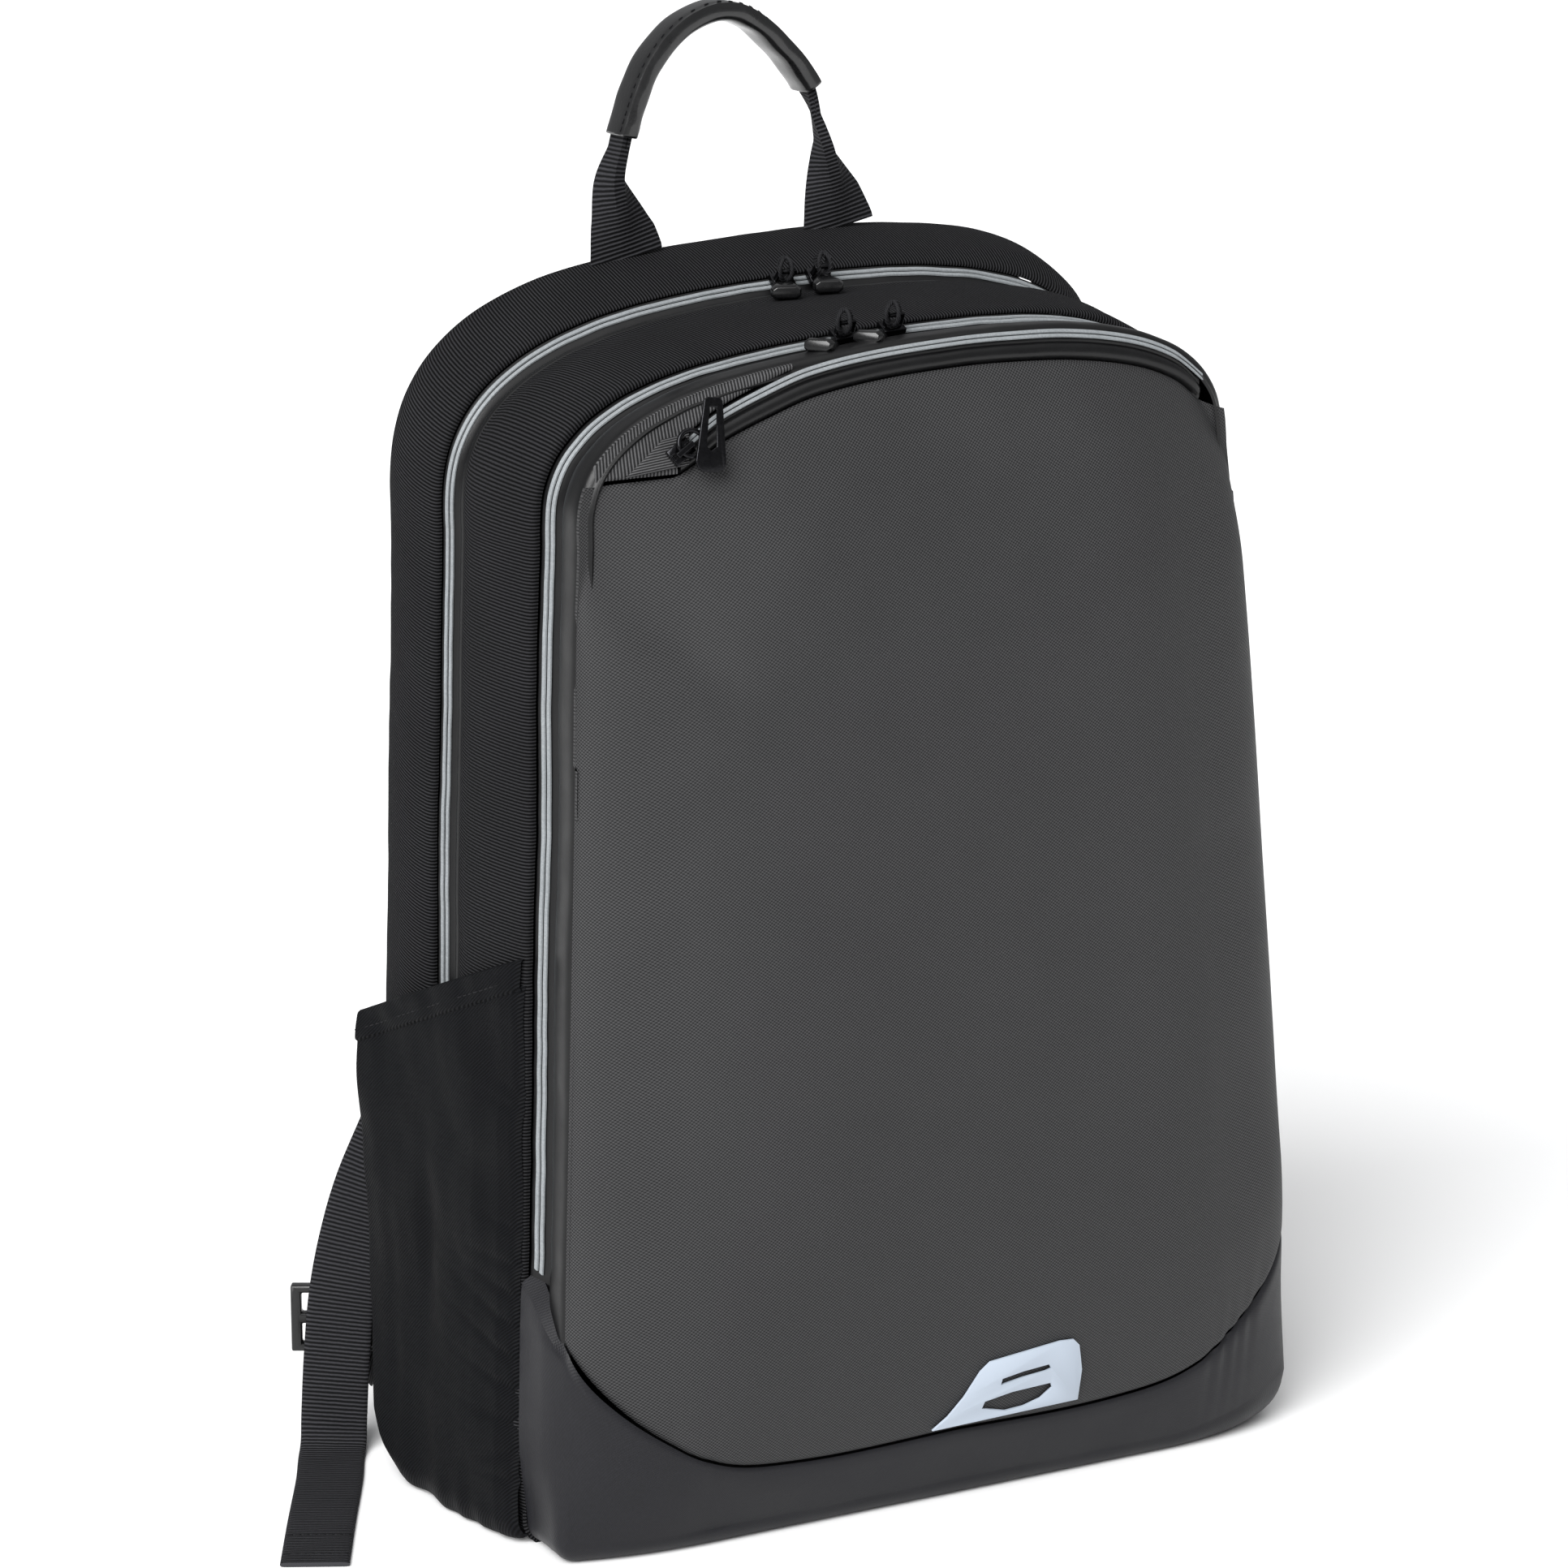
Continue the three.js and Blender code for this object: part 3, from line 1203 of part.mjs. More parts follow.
for (const pull of pulls) {
  const [rowA, rowB] = zipSlopes[pull.zip];
  const [y, out] = ['y', 'out'].map((column) => mix(rowA[column], rowB[column], 0.48));
  const s = pull.x / outlineAt(y).total;
  const along = unit(sub(onWall(y, s + 0.005, out), onWall(y, s - 0.005, out)));
  const down = unit(sub(onWall(rowB.y, s, rowB.out), onWall(rowA.y, s, rowA.out)));
  const up = cross(along, down.map((v) => -v));
  const seat = add(onWall(y, s, out), up, cloth.gap * 2 + cloth.stripe);
  const body = addMesh(trim, `${pull.zip}_slider_${pull.side}`, sliderGeometry.clone(), 'plastic');
  placeMesh(body, seat, along, up);

  // The loop stands in the hoop, its lowest point inside it.
  const cordHeading = ahead(Math.max(pull.heading, steepestCord));
  const hoop = add(seat, up, hoopCentre);
  const loopGeometry = new THREE.TorusGeometry(cordLoop.radius, cordLoop.rod, 5, 10);
  const loop = addMesh(trim, `${pull.zip}_cord_${pull.side}`, loopGeometry, 'webbing');
  const leanOut = unit(add(cordHeading, [0, 0, 1], 0.9));
  const loopCentre = add(hoop, leanOut, cordLoop.radius);
  placeMesh(loop, loopCentre, cordHeading, cross(cordHeading, [0, 0, 1]));

  // The moulded end rests on the cloth in front of the zipper.
  const heading = ahead(pull.heading);
  const over = add(seat, heading, pullEnd.reach + pullEnd.length / 2);
  const rows = clothAhead[pull.zip];
  const groundAt = (depth) => {
    const share = (over[0] + settled.lean * over[2]) / outlineAt(depth).total;
    return onWall(depth, share, lookUp(rows, 'y', 'out', depth))[2];
  };
  const fall = (groundAt(over[1] - 3) - groundAt(over[1] + 3)) / 6;
  const tipped = unit(add(heading, [0, 0, 1], fall));
  const lift = pullEnd.thickness / 2 + pull.rise;
  const end = addMesh(
    trim,
    `${pull.zip}_pull_end_${pull.side}`,
    geometryOf(rodThrough(pullEndRings)),
    'plastic',
  );
  const upward = cross(tipped, cross([0, 0, 1], tipped));
  placeMesh(end, [over[0], over[1], groundAt(over[1]) + lift], tipped, upward);
}

// Puller of the pocket zipper: a slider, a metal link and a slotted metal tab
const puller = { x: -97, share: 0.25, linkRadius: 4.5, linkRod: 0.9, tabThickness: 1.2, tabTilt: 8 };
const onZip = (x) =>
  mix(lookUp(pocketZip, 'x', 'upper', x), lookUp(pocketZip, 'x', 'lower', x), puller.share);
const onDome = (x, z, lift) => settle(domePoint(x, z, lift));
const pullerHeight = onZip(puller.x);
const pullerUp = domeNormal(puller.x, pullerHeight);
const besidePuller = puller.x + 2;
const pullerAlong = unit(
  sub(onDome(besidePuller, onZip(besidePuller), 0), onDome(puller.x, pullerHeight, 0)),
);
const pullerSeat = onDome(puller.x, pullerHeight, endTab.lift + cloth.gap);
const pocketSlider = addMesh(trim, 'pocket_slider', sliderGeometry.clone(), 'metal');
placeMesh(pocketSlider, pullerSeat, pullerAlong, pullerUp);

const linkGeometry = new THREE.TorusGeometry(puller.linkRadius, puller.linkRod, 5, 12);
const pullerLink = addMesh(trim, 'puller_link', linkGeometry, 'metal');
const linkLift = slider.height + puller.linkRod + 0.3;
const linkCentre = add(add(pullerSeat, pullerUp, linkLift), pullerAlong, puller.linkRadius - 0.3);
placeMesh(pullerLink, linkCentre, pullerAlong, pullerUp);

const pullerTabOutline = [
  [-3.4, 12], [-2.2, 13], [2.2, 13], [3.4, 12], [5.6, -9.5], [4.6, -12], [2.6, -13], [-2.6, -13],
  [-4.6, -12], [-5.6, -9.5],
];
const pullerTabSlot = [[-1.3, 9.5], [1.3, 9.5], [1.8, -4], [0, -5.6], [-1.8, -4]];
const pullerTabPlate = new THREE.ExtrudeGeometry(slottedShape(pullerTabOutline, [pullerTabSlot]), {
  depth: puller.tabThickness,
  bevelEnabled: false,
});
const pullerTab = addMesh(trim, 'puller_tab', pullerTabPlate, 'metal');
const tabMiddle = { x: -86.6, z: 409.5 };
const tabLift = endTab.lift + cloth.gap + linkLift + puller.linkRod + 0.8;
const clothUp = domeNormal(tabMiddle.x, tabMiddle.z);
const tabUp = unit(add(clothUp, [0, 0, -1], Math.tan((puller.tabTilt * Math.PI) / 180)));
const tabAlong = unit([-clothUp[1], clothUp[0], -0.12]);
placeMesh(pullerTab, onDome(tabMiddle.x, tabMiddle.z, tabLift), tabAlong, tabUp);

export default group;
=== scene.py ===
"""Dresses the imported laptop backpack: fine cloth shells, zippers, pulls, straps and a plain studio.

Lengths are worked out in millimetres on the upright bag, settled to its lean, and put into the
meshes in metres. The bag faces -Y, its seen side is at -X, and the floor is at z = 0.
"""

import logging
import math
from dataclasses import dataclass, field
from enum import Enum

import bpy
import numpy as np
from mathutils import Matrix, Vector


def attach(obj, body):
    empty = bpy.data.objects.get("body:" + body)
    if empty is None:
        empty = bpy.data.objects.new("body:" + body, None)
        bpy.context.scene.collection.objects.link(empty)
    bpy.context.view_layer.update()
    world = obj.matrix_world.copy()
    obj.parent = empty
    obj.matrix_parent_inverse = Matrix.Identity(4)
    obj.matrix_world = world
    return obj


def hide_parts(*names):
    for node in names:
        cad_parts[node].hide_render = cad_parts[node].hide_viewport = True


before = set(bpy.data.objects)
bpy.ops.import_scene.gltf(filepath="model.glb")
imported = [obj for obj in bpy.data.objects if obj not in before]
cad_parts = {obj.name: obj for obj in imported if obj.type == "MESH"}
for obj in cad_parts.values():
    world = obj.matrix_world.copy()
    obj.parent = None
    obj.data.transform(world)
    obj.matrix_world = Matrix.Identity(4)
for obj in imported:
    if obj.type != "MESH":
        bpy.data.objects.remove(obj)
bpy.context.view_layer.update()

MM = 0.001
BODY = "root"
DEPTHWISE = np.array([0.0, 1.0, 0.0])
MAP = "cloth"
SIDES = (("left", -1.0), ("right", 1.0))
Array = np.ndarray
log = logging.getLogger("backpack")


# Numbers and curves


def ramp(low: float, high: float, value: Array | float) -> Array:
    """A smooth step: t squared times (3 - 2t), where t runs from 0 at low to 1 at high."""
    t = np.clip((np.asarray(value, float) - low) / (high - low), 0.0, 1.0)
    return t * t * (3.0 - 2.0 * t)


def blend(a: Array | float, b: Array | float, t: Array | float) -> Array:
    """The value a share t of the way from a to b."""
    return a + (b - a) * t


def bell(distance: Array, width: float) -> Array:
    """A bell curve: e to the minus (distance / width) squared."""
    return np.exp(-((distance / width) ** 2))


def rolled(distance: Array, width: float, depth: float) -> Array:
    """How far an edge has rolled in: a quarter circle from depth at the edge to 0 at width."""
    rest = 1.0 - np.clip(distance / width, 0.0, 1.0)
    return depth * (1.0 - np.sqrt(1.0 - rest * rest))


def unit(vectors: Array) -> Array:
    """Vectors of the same directions with length 1."""
    length = np.linalg.norm(vectors, axis=-1, keepdims=True)
    return vectors / np.maximum(length, 1e-9)


def point(x: Array, y: Array, z: Array) -> Array:
    """Points from three arrays that broadcast together."""
    return np.stack(np.broadcast_arrays(x, y, z), -1).astype(float)


def through(stations: Array, at: Array, places: Array) -> Array:
    """A smooth curve through stations: cubic Hermite pieces whose slopes join the neighbours.

    Args:
        stations: one row of values for each station.
        at: the place of each station along the curve, rising.
        places: the places to work the curve out at.

    Returns:
        One row of values for each place.
    """
    last = len(at) - 1
    i = np.clip(np.searchsorted(at, places) - 1, 0, last - 1)
    before, after = np.maximum(i - 1, 0), np.minimum(i + 2, last)
    span = (at[i + 1] - at[i])[:, None]
    t = np.clip((places - at[i])[:, None] / span, 0.0, 1.0)
    slope_in = (stations[i + 1] - stations[before]) / (at[i + 1] - at[before])[:, None]
    slope_out = (stations[after] - stations[i]) / (at[after] - at[i])[:, None]
    t2, t3 = t * t, t * t * t
    return (
        (2 * t3 - 3 * t2 + 1) * stations[i]
        + (t3 - 2 * t2 + t) * span * slope_in
        + (3 * t2 - 2 * t3) * stations[i + 1]
        + (t3 - t2) * span * slope_out
    )


def evenly(stations: Array, count: int) -> Array:
    """A smooth curve through stations that lie at even places, at count even places."""
    at = np.linspace(0.0, 1.0, len(stations))
    return through(np.asarray(stations, float), at, np.linspace(0.0, 1.0, count))


def spread(points: Array, count: int) -> Array:
    """Points spaced evenly by length along a polyline.

    Args:
        points: the polyline's corners.
        count: how many points to give.

    Returns:
        The spaced points.
    """
    run = np.concatenate([[0.0], np.cumsum(np.linalg.norm(np.diff(points, axis=0), axis=1))])
    places = np.linspace(0.0, run[-1], count)
    return np.stack([np.interp(places, run, points[:, k]) for k in range(points.shape[1])], -1)


def swells(a: Array, b: Array, length: float, seed: int, count: int = 14) -> Array:
    """Gentle random unevenness around 0: a sum of sines of two coordinates, each sine with its
    own direction, phase and wavelength.

    Args:
        a: the first coordinate.
        b: the second coordinate.
        length: the usual wavelength; each sine has 0.7 to 1.6 times as much.
        seed: where the random draws start.
        count: how many sines.

    Returns:
        The unevenness, mostly between -1 and 1.
    """
    draw = np.random.default_rng(seed)
    total = np.zeros(np.broadcast(a, b).shape)
    for _ in range(count):
        angle, phase = draw.uniform(0.0, 2.0 * math.pi, 2)
        rate = 2.0 * math.pi / (length * draw.uniform(0.7, 1.6))
        total += np.sin(rate * (a * math.cos(angle) + b * math.sin(angle)) + phase)
    return total / math.sqrt(count * 2.0)


# Meshes from grids


def grid_normals(grid: Array) -> Array:
    """Directions square to a grid of points: the cross product of its two gradients."""
    return unit(np.cross(np.gradient(grid, axis=1), np.gradient(grid, axis=0)))


def edge_distances(grid: Array) -> tuple[Array, Array, Array, Array]:
    """Lengths measured along the rows and columns of a grid from its four edges.

    Args:
        grid: rows by columns of points.

    Returns:
        The lengths from the first column, last column, first row and last row.
    """
    across = np.linalg.norm(np.diff(grid, axis=1), axis=2)
    along = np.linalg.norm(np.diff(grid, axis=0), axis=2)
    left = np.pad(np.cumsum(across, axis=1), ((0, 0), (1, 0)))
    top = np.pad(np.cumsum(along, axis=0), ((1, 0), (0, 0)))
    return left, left[:, -1:] - left, top, top[-1:] - top


def grid_quads(rows: int, columns: int, wrap_rows: bool = False, wrap_columns: bool = False) -> Array:
    """The row and column of the four corners of every quad in a grid.

    Args:
        rows: rows of points.
        columns: columns of points.
        wrap_rows: whether the last row joins the first.
        wrap_columns: whether the last column joins the first.

    Returns:
        Quads by 4 corners by (row, column), counted on past the last where the grid wraps.
    """
    row = np.arange(rows if wrap_rows else rows - 1)
    column = np.arange(columns if wrap_columns else columns - 1)
    r, c = (a.ravel() for a in np.meshgrid(row, column, indexing="ij"))
    corners = ((r, c), (r, c + 1), (r + 1, c + 1), (r + 1, c))
    return np.stack([np.stack(corner, -1) for corner in corners], 1)


def make_piece(name: str, points: Array, faces: Array, uv: Array, sharp: float = 40.0) -> bpy.types.Object:
    """Puts points and quads into a mesh object, its faces turned outward.

    Args:
        name: the piece's name.
        points: corners in millimetres.
        faces: four corner numbers for each quad.
        uv: where each quad's corners lie in the cloth map, in millimetres.
        sharp: edges that turn by more than this many degrees are shaded sharp.

    Returns:
        The object, linked to the scene.
    """
    a, b, c, d = (points[faces[:, k]] for k in range(4))
    volume = np.einsum("ij,ij->", a, np.cross(b, c)) + np.einsum("ij,ij->", a, np.cross(c, d))
    if volume < 0.0:
        faces, uv = faces[:, ::-1], uv[:, ::-1]
    mesh = bpy.data.meshes.new(name)
    mesh.vertices.add(len(points))
    mesh.vertices.foreach_set("co", (points * MM).astype(np.float32).ravel())
    mesh.loops.add(faces.size)
    mesh.loops.foreach_set("vertex_index", np.ascontiguousarray(faces, np.int32).ravel())
    mesh.polygons.add(len(faces))
    mesh.polygons.foreach_set("loop_start", np.arange(0, faces.size, 4, dtype=np.int32))
    mesh.update(calc_edges=True)
    layer = mesh.uv_layers.new(name=MAP)
    layer.data.foreach_set("uv", np.ascontiguousarray(uv, np.float32).ravel())
    mesh.validate()
    mesh.shade_smooth()
    mesh.set_sharp_from_angle(angle=math.radians(sharp))
    piece = bpy.data.objects.new(name, mesh)
    bpy.context.scene.collection.objects.link(piece)
    return piece


def length_map(grid: Array, wrap_columns: bool = False, wrap_rows: bool = False) -> Array:
    """A flat map of a grid: the mean length across and along to each row and column.

    Args:
        grid: rows by columns of points.
        wrap_columns: whether to add a column that closes the grid round.
        wrap_rows: whether to add a row that closes the grid end to end.

    Returns:
        (u, v) in millimetres for each row and column, with the added ones.
    """
    if wrap_columns:
        grid = np.concatenate([grid, grid[:, :1]], 1)
    if wrap_rows:
        grid = np.concatenate([grid, grid[:1]], 0)
    across = np.linalg.norm(np.diff(grid, axis=1), axis=2).mean(0)
    along = np.linalg.norm(np.diff(grid, axis=0), axis=2).mean(1)
    u = np.concatenate([[0.0], np.cumsum(across)])
    v = np.concatenate([[0.0], np.cumsum(along)])
    return np.stack(np.meshgrid(u - u[-1] / 2.0, v), -1)


def sheet_piece(name: str, outer: Array, thickness: float, uv: Array | None = None,
                centre: tuple[float, float, float] = (0.0, 0.0, 225.0)) -> bpy.types.Object:
    """A closed wall of cloth: an outer grid, the same grid sunk by its thickness, and four rims.

    Args:
        name: the piece's name.
        outer: rows by columns of points in millimetres.
        thickness: how far the inner face lies behind the outer one.
        uv: the cloth map of the grid; measured along the grid where it isn't given.
        centre: a point that the inner face lies toward.

    Returns:
        The piece.
    """
    rows, columns = outer.shape[:2]
    normal = grid_normals(outer)
    facing = np.sign(((outer - np.array(centre)) * normal).sum())
    inner = outer - normal * facing * thickness
    uv = length_map(outer) if uv is None else uv
    corner = grid_quads(rows, columns)
    front = corner[..., 0] * columns + corner[..., 1]
    number = np.arange(rows * columns).reshape(rows, columns)
    loop = np.concatenate([number[0], number[1:, -1], number[-1, -2::-1], number[-2:0:-1, 0]])
    ahead = np.roll(loop, -1)
    count = rows * columns
    rim = np.stack([loop + count, ahead + count, ahead, loop], 1)
    faces = np.concatenate([front, front[:, ::-1] + count, rim])
    flat = np.concatenate([uv.reshape(-1, 2), uv.reshape(-1, 2)])
    return make_piece(name, np.concatenate([outer, inner]).reshape(-1, 3), faces, flat[faces])


def rod_piece(name: str, rings: Array, closed: bool = False, sharp: float = 40.0) -> bpy.types.Object:
    """A closed skin through rings of points, with its ends laddered shut or joined to each other.

    Args:
        name: the piece's name.
        rings: rings by points round each ring, an even number of them.
        closed: whether the last ring joins the first.
        sharp: edges that turn by more than this many degrees are shaded sharp.

    Returns:
        The piece.
    """
    rows, columns = rings.shape[:2]
    uv = length_map(rings, wrap_columns=True, wrap_rows=closed)
    corner = grid_quads(rows, columns, wrap_rows=closed, wrap_columns=True)
    faces = (corner[..., 0] % rows) * columns + corner[..., 1] % columns
    flat = uv[corner[..., 0], corner[..., 1]]
    if not closed:
        step = np.arange(columns // 2 - 1)
        cap = np.stack([step, step + 1, columns - 2 - step, columns - 1 - step], 1)
        end = cap[:, ::-1] + (rows - 1) * columns
        faces = np.concatenate([faces, cap[:, ::-1], end[:, ::-1]])
        flat = np.concatenate([flat, uv[0, cap[:, ::-1]], uv[-1, cap]])
    return make_piece(name, rings.reshape(-1, 3), faces, flat, sharp)


def many_beads(name: str, centres: Array, along: Array, up: Array, size: tuple[float, float, float],
               sides: int = 6) -> bpy.types.Object:
    """Stitches as one mesh: each a stretched ball whose rings are ellipses shrinking to its ends.

    Args:
        name: the piece's name.
        centres: the middle of each stitch.
        along: the direction that each stitch runs in.
        up: the direction off the cloth at each stitch.
        size: length, width and height of a stitch.
        sides: corners of each ring.

    Returns:
        The piece.
    """
    along = unit(along)
    up = unit(up - along * (along * up).sum(-1, keepdims=True))
    side = np.cross(up, along)
    turn = np.linspace(0.0, 2.0 * math.pi, sides, endpoint=False) + math.pi / sides
    share = np.array([-1.0, -0.8, 0.0, 0.8, 1.0])
    girth = np.array([0.3, 0.8, 1.0, 0.8, 0.3])
    x = np.repeat(share, sides) * size[0] / 2.0
    y = np.outer(girth, np.cos(turn)).ravel() * size[1] / 2.0
    z = np.outer(girth, np.sin(turn)).ravel() * size[2] / 2.0
    points = (centres[:, None] + along[:, None] * x[:, None] + side[:, None] * y[:, None]
              + up[:, None] * z[:, None])
    corner = grid_quads(len(share), sides, wrap_columns=True)
    body = corner[..., 0] * sides + corner[..., 1] % sides
    step = np.arange(sides // 2 - 1)
    cap = np.stack([step, step + 1, sides - 2 - step, sides - 1 - step], 1)
    one = np.concatenate([body, cap[:, ::-1], cap + (len(share) - 1) * sides])
    shift = np.arange(len(centres))[:, None, None] * points.shape[1]
    faces = (one[None] + shift).reshape(-1, 4)
    points = points.reshape(-1, 3)
    return make_piece(name, points, faces, points[faces][..., :2], 80.0)


def mesh_points(mesh: bpy.types.Mesh) -> Array:
    """A mesh's points in millimetres.

    Args:
        mesh: the mesh.

    Returns:
        One row for each point.
    """
    found = np.empty(len(mesh.vertices) * 3, np.float32)
    mesh.vertices.foreach_get("co", found)
    return found.reshape(-1, 3).astype(float) / MM


def put_points(mesh: bpy.types.Mesh, points: Array) -> None:
    """Moves a mesh's points to places given in millimetres."""
    mesh.vertices.foreach_set("co", (points * MM).astype(np.float32).ravel())
    mesh.update()


def cad_copy(node: str, name: str) -> bpy.types.Object:
    """A copy of a CAD node with its loose triangles merged into one skin.

    Args:
        node: the CAD node.
        name: the new piece's name.

    Returns:
        The piece.
    """
    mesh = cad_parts[node].data.copy()
    mesh.name = name
    mesh.materials.clear()
    piece = bpy.data.objects.new(name, mesh)
    bpy.context.scene.collection.objects.link(piece)
    weld = piece.modifiers.new("weld", "WELD")
    weld.merge_threshold = 0.02 * MM
    flat = piece.modifiers.new("flat", "DECIMATE")
    flat.decimate_type = "DISSOLVE"
    flat.angle_limit = math.radians(1.0)
    apply_modifiers(piece)
    return piece


def apply_modifiers(piece: bpy.types.Object) -> None:
    """Makes what a piece's modifiers give at the present frame its own mesh.

    Args:
        piece: the piece.
    """
    bpy.context.view_layer.update()
    graph = bpy.context.evaluated_depsgraph_get()
    mesh = bpy.data.meshes.new_from_object(piece.evaluated_get(graph))
    piece.modifiers.clear()
    piece.data = mesh


# Finishes


class Pattern(Enum):
    """How a surface was made, as its finish draws it."""

    PLAIN = "plain"
    RIBS = "cross ribs"
    DOTS = "dots in a brick lattice"
    TWILL = "diagonal ribs"
    MESH = "open spacer mesh"
    GRAIN = "pebbled grain"


class Coordinates(Enum):
    """What a pattern is measured on."""

    CLOTH_MAP = "the piece's own map, in millimetres"
    OBJECT = "object coordinates, in metres"


@dataclass(frozen=True)
class Finish:
    """A real material: its colours as sRGB hex, its gloss and the pattern of its surface; its dark colour is
    painted shade in the hollows of that pattern.
    """

    name: str
    light: str
    dark: str
    roughness: float
    pattern: Pattern = Pattern.PLAIN
    pitch: tuple[float, float] = (1.0, 1.0)
    depth: float = 0.1
    turn: float = 0.0
    coordinates: Coordinates = Coordinates.CLOTH_MAP
    specular: float = 0.5
    coat: float = 0.0
    metallic: float = 0.0
    patchiness: float = 0.12
    patch_size: float = 40.0
    uneven: float = 0.4


# Ribbed polyester: fine cords across the band catch the light, near black between them.
RIBBED_POLYESTER = Finish("ribbed_polyester", "#2f2f31", "#010101", 0.85, Pattern.RIBS, (1.25, 1.25),
                          0.4, specular=0.06, uneven=0.5)
# Coated polyester: a satin film over a coarse weave, dotted where the threads stand up.
COATED_POLYESTER = Finish("coated_polyester", "#434344", "#080809", 0.52, Pattern.DOTS, (1.45, 1.24),
                          0.16, turn=3.8, specular=0.2, patchiness=0.07, patch_size=70.0)
# Smooth coated oxford: a thicker film, so the weave is faint and the sheen is broader.
COATED_OXFORD = Finish("coated_oxford", "#1b1b1f", "#131316", 0.46, Pattern.DOTS, (0.9, 0.9), 0.05,
                       specular=0.25, patchiness=0.14, patch_size=30.0)
# The same oxford on the bag's floor, measured in space.
FLOOR_OXFORD = Finish("coated_oxford_floor", "#202024", "#161619", 0.5, Pattern.DOTS, (0.9, 0.9), 0.05,
                      coordinates=Coordinates.OBJECT, specular=0.25, patchiness=0.14, patch_size=30.0)
# Ribbed crescent cloth: the same cloth as the gussets, its colours painted paler where it faces up: painted
# light from above.
PAINTED_LIT_RIBBED_POLYESTER = Finish("ribbed_polyester_painted_lit", "#5a5a5b", "#161617", 0.8, Pattern.RIBS, (1.25, 1.25),
                            0.3, specular=0.1)
# Pocket twill: matt diagonal ribs with a faint blue cast.
POCKET_TWILL = Finish("polyester_twill", "#0e0f12", "#010102", 0.66, Pattern.TWILL, (1.5, 1.5), 0.25,
                      specular=0.1, patch_size=25.0)
# Polyurethane coated zipper tape: smooth and black with soft highlights.
COATED_TAPE = Finish("polyurethane_tape", "#0b0b0c", "#060607", 0.38, Pattern.GRAIN, (0.6, 0.6), 0.02,
                     specular=0.35, patch_size=15.0)
# Glass bead reflective film: pale grey, matt from most sides.
REFLECTIVE_FILM = Finish("glass_bead_film", "#8e9294", "#787c7f", 0.5, Pattern.GRAIN, (0.5, 0.5), 0.02,
                         specular=0.3, patchiness=0.08, patch_size=20.0)
# Tab film: the same film with a blue cast.
TAB_FILM = Finish("glass_bead_film_tab", "#b4bdc8", "#9fa9b6", 0.4, Pattern.GRAIN, (0.5, 0.5), 0.02,
                  specular=0.3, patchiness=0.1, patch_size=12.0)
# Spacer mesh: knitted holes over foam, matt black.
SPACER_MESH = Finish("spacer_mesh", "#262628", "#050506", 0.92, Pattern.MESH, (3.6, 4.2), 0.8,
                     coordinates=Coordinates.OBJECT, specular=0.1)
# Polyester webbing: bold cross ribs of thick yarn.
WEBBING = Finish("polyester_webbing", "#37373a", "#040405", 0.8, Pattern.RIBS, (1.6, 1.6), 0.45,
                 specular=0.12, uneven=0.6)
# Grained leatherette: satin vinyl skin with a fine pebble.
LEATHERETTE = Finish("vinyl_leatherette", "#0f0f10", "#09090a", 0.3, Pattern.GRAIN, (1.1, 1.1), 0.04,
                     specular=0.5, coat=0.5, patch_size=18.0)
# Injection moulded acetal: smooth glossy black.
MOULDED_PLASTIC = Finish("moulded_acetal", "#0c0c0d", "#080809", 0.22, Pattern.GRAIN, (0.8, 0.8), 0.01,
                         coordinates=Coordinates.OBJECT, specular=0.5)
# Black plated zinc casting: mirror-like dark metal.
PLATED_ZINC = Finish("black_plated_zinc", "#2b2b2d", "#1b1b1d", 0.2, Pattern.GRAIN, (0.8, 0.8), 0.01,
                     coordinates=Coordinates.OBJECT, metallic=0.9)
# Bonded sewing thread: dull black.
BLACK_THREAD = Finish("black_thread", "#1b1b1e", "#0f0f11", 0.6, specular=0.2)
# Braided cord: fine herringbone of black yarn.
BRAIDED_CORD = Finish("braided_cord", "#242427", "#070708", 0.65, Pattern.TWILL, (0.8, 0.8), 0.15,
                      specular=0.2)
# Seamless studio paper: matt white, quite even.
STUDIO_FLOOR = Finish("studio_paper", "#fbfbfb", "#fbfbfb", 1.0, depth=0.0, specular=0.0, patchiness=0.0,
                      coordinates=Coordinates.OBJECT)


def linear(colour: str) -> tuple[float, float, float, float]:
    """An sRGB hex colour as linear red, green, blue and alpha.

    Args:
        colour: a hash sign and six hex digits.

    Returns:
        The four values from 0 to 1.
    """
    parts = np.array([int(colour[k:k + 2], 16) for k in (1, 3, 5)]) / 255.0
    low, high = parts / 12.92, ((parts + 0.055) / 1.055) ** 2.4
    return (*(float(v) for v in np.where(parts <= 0.04045, low, high)), 1.0)


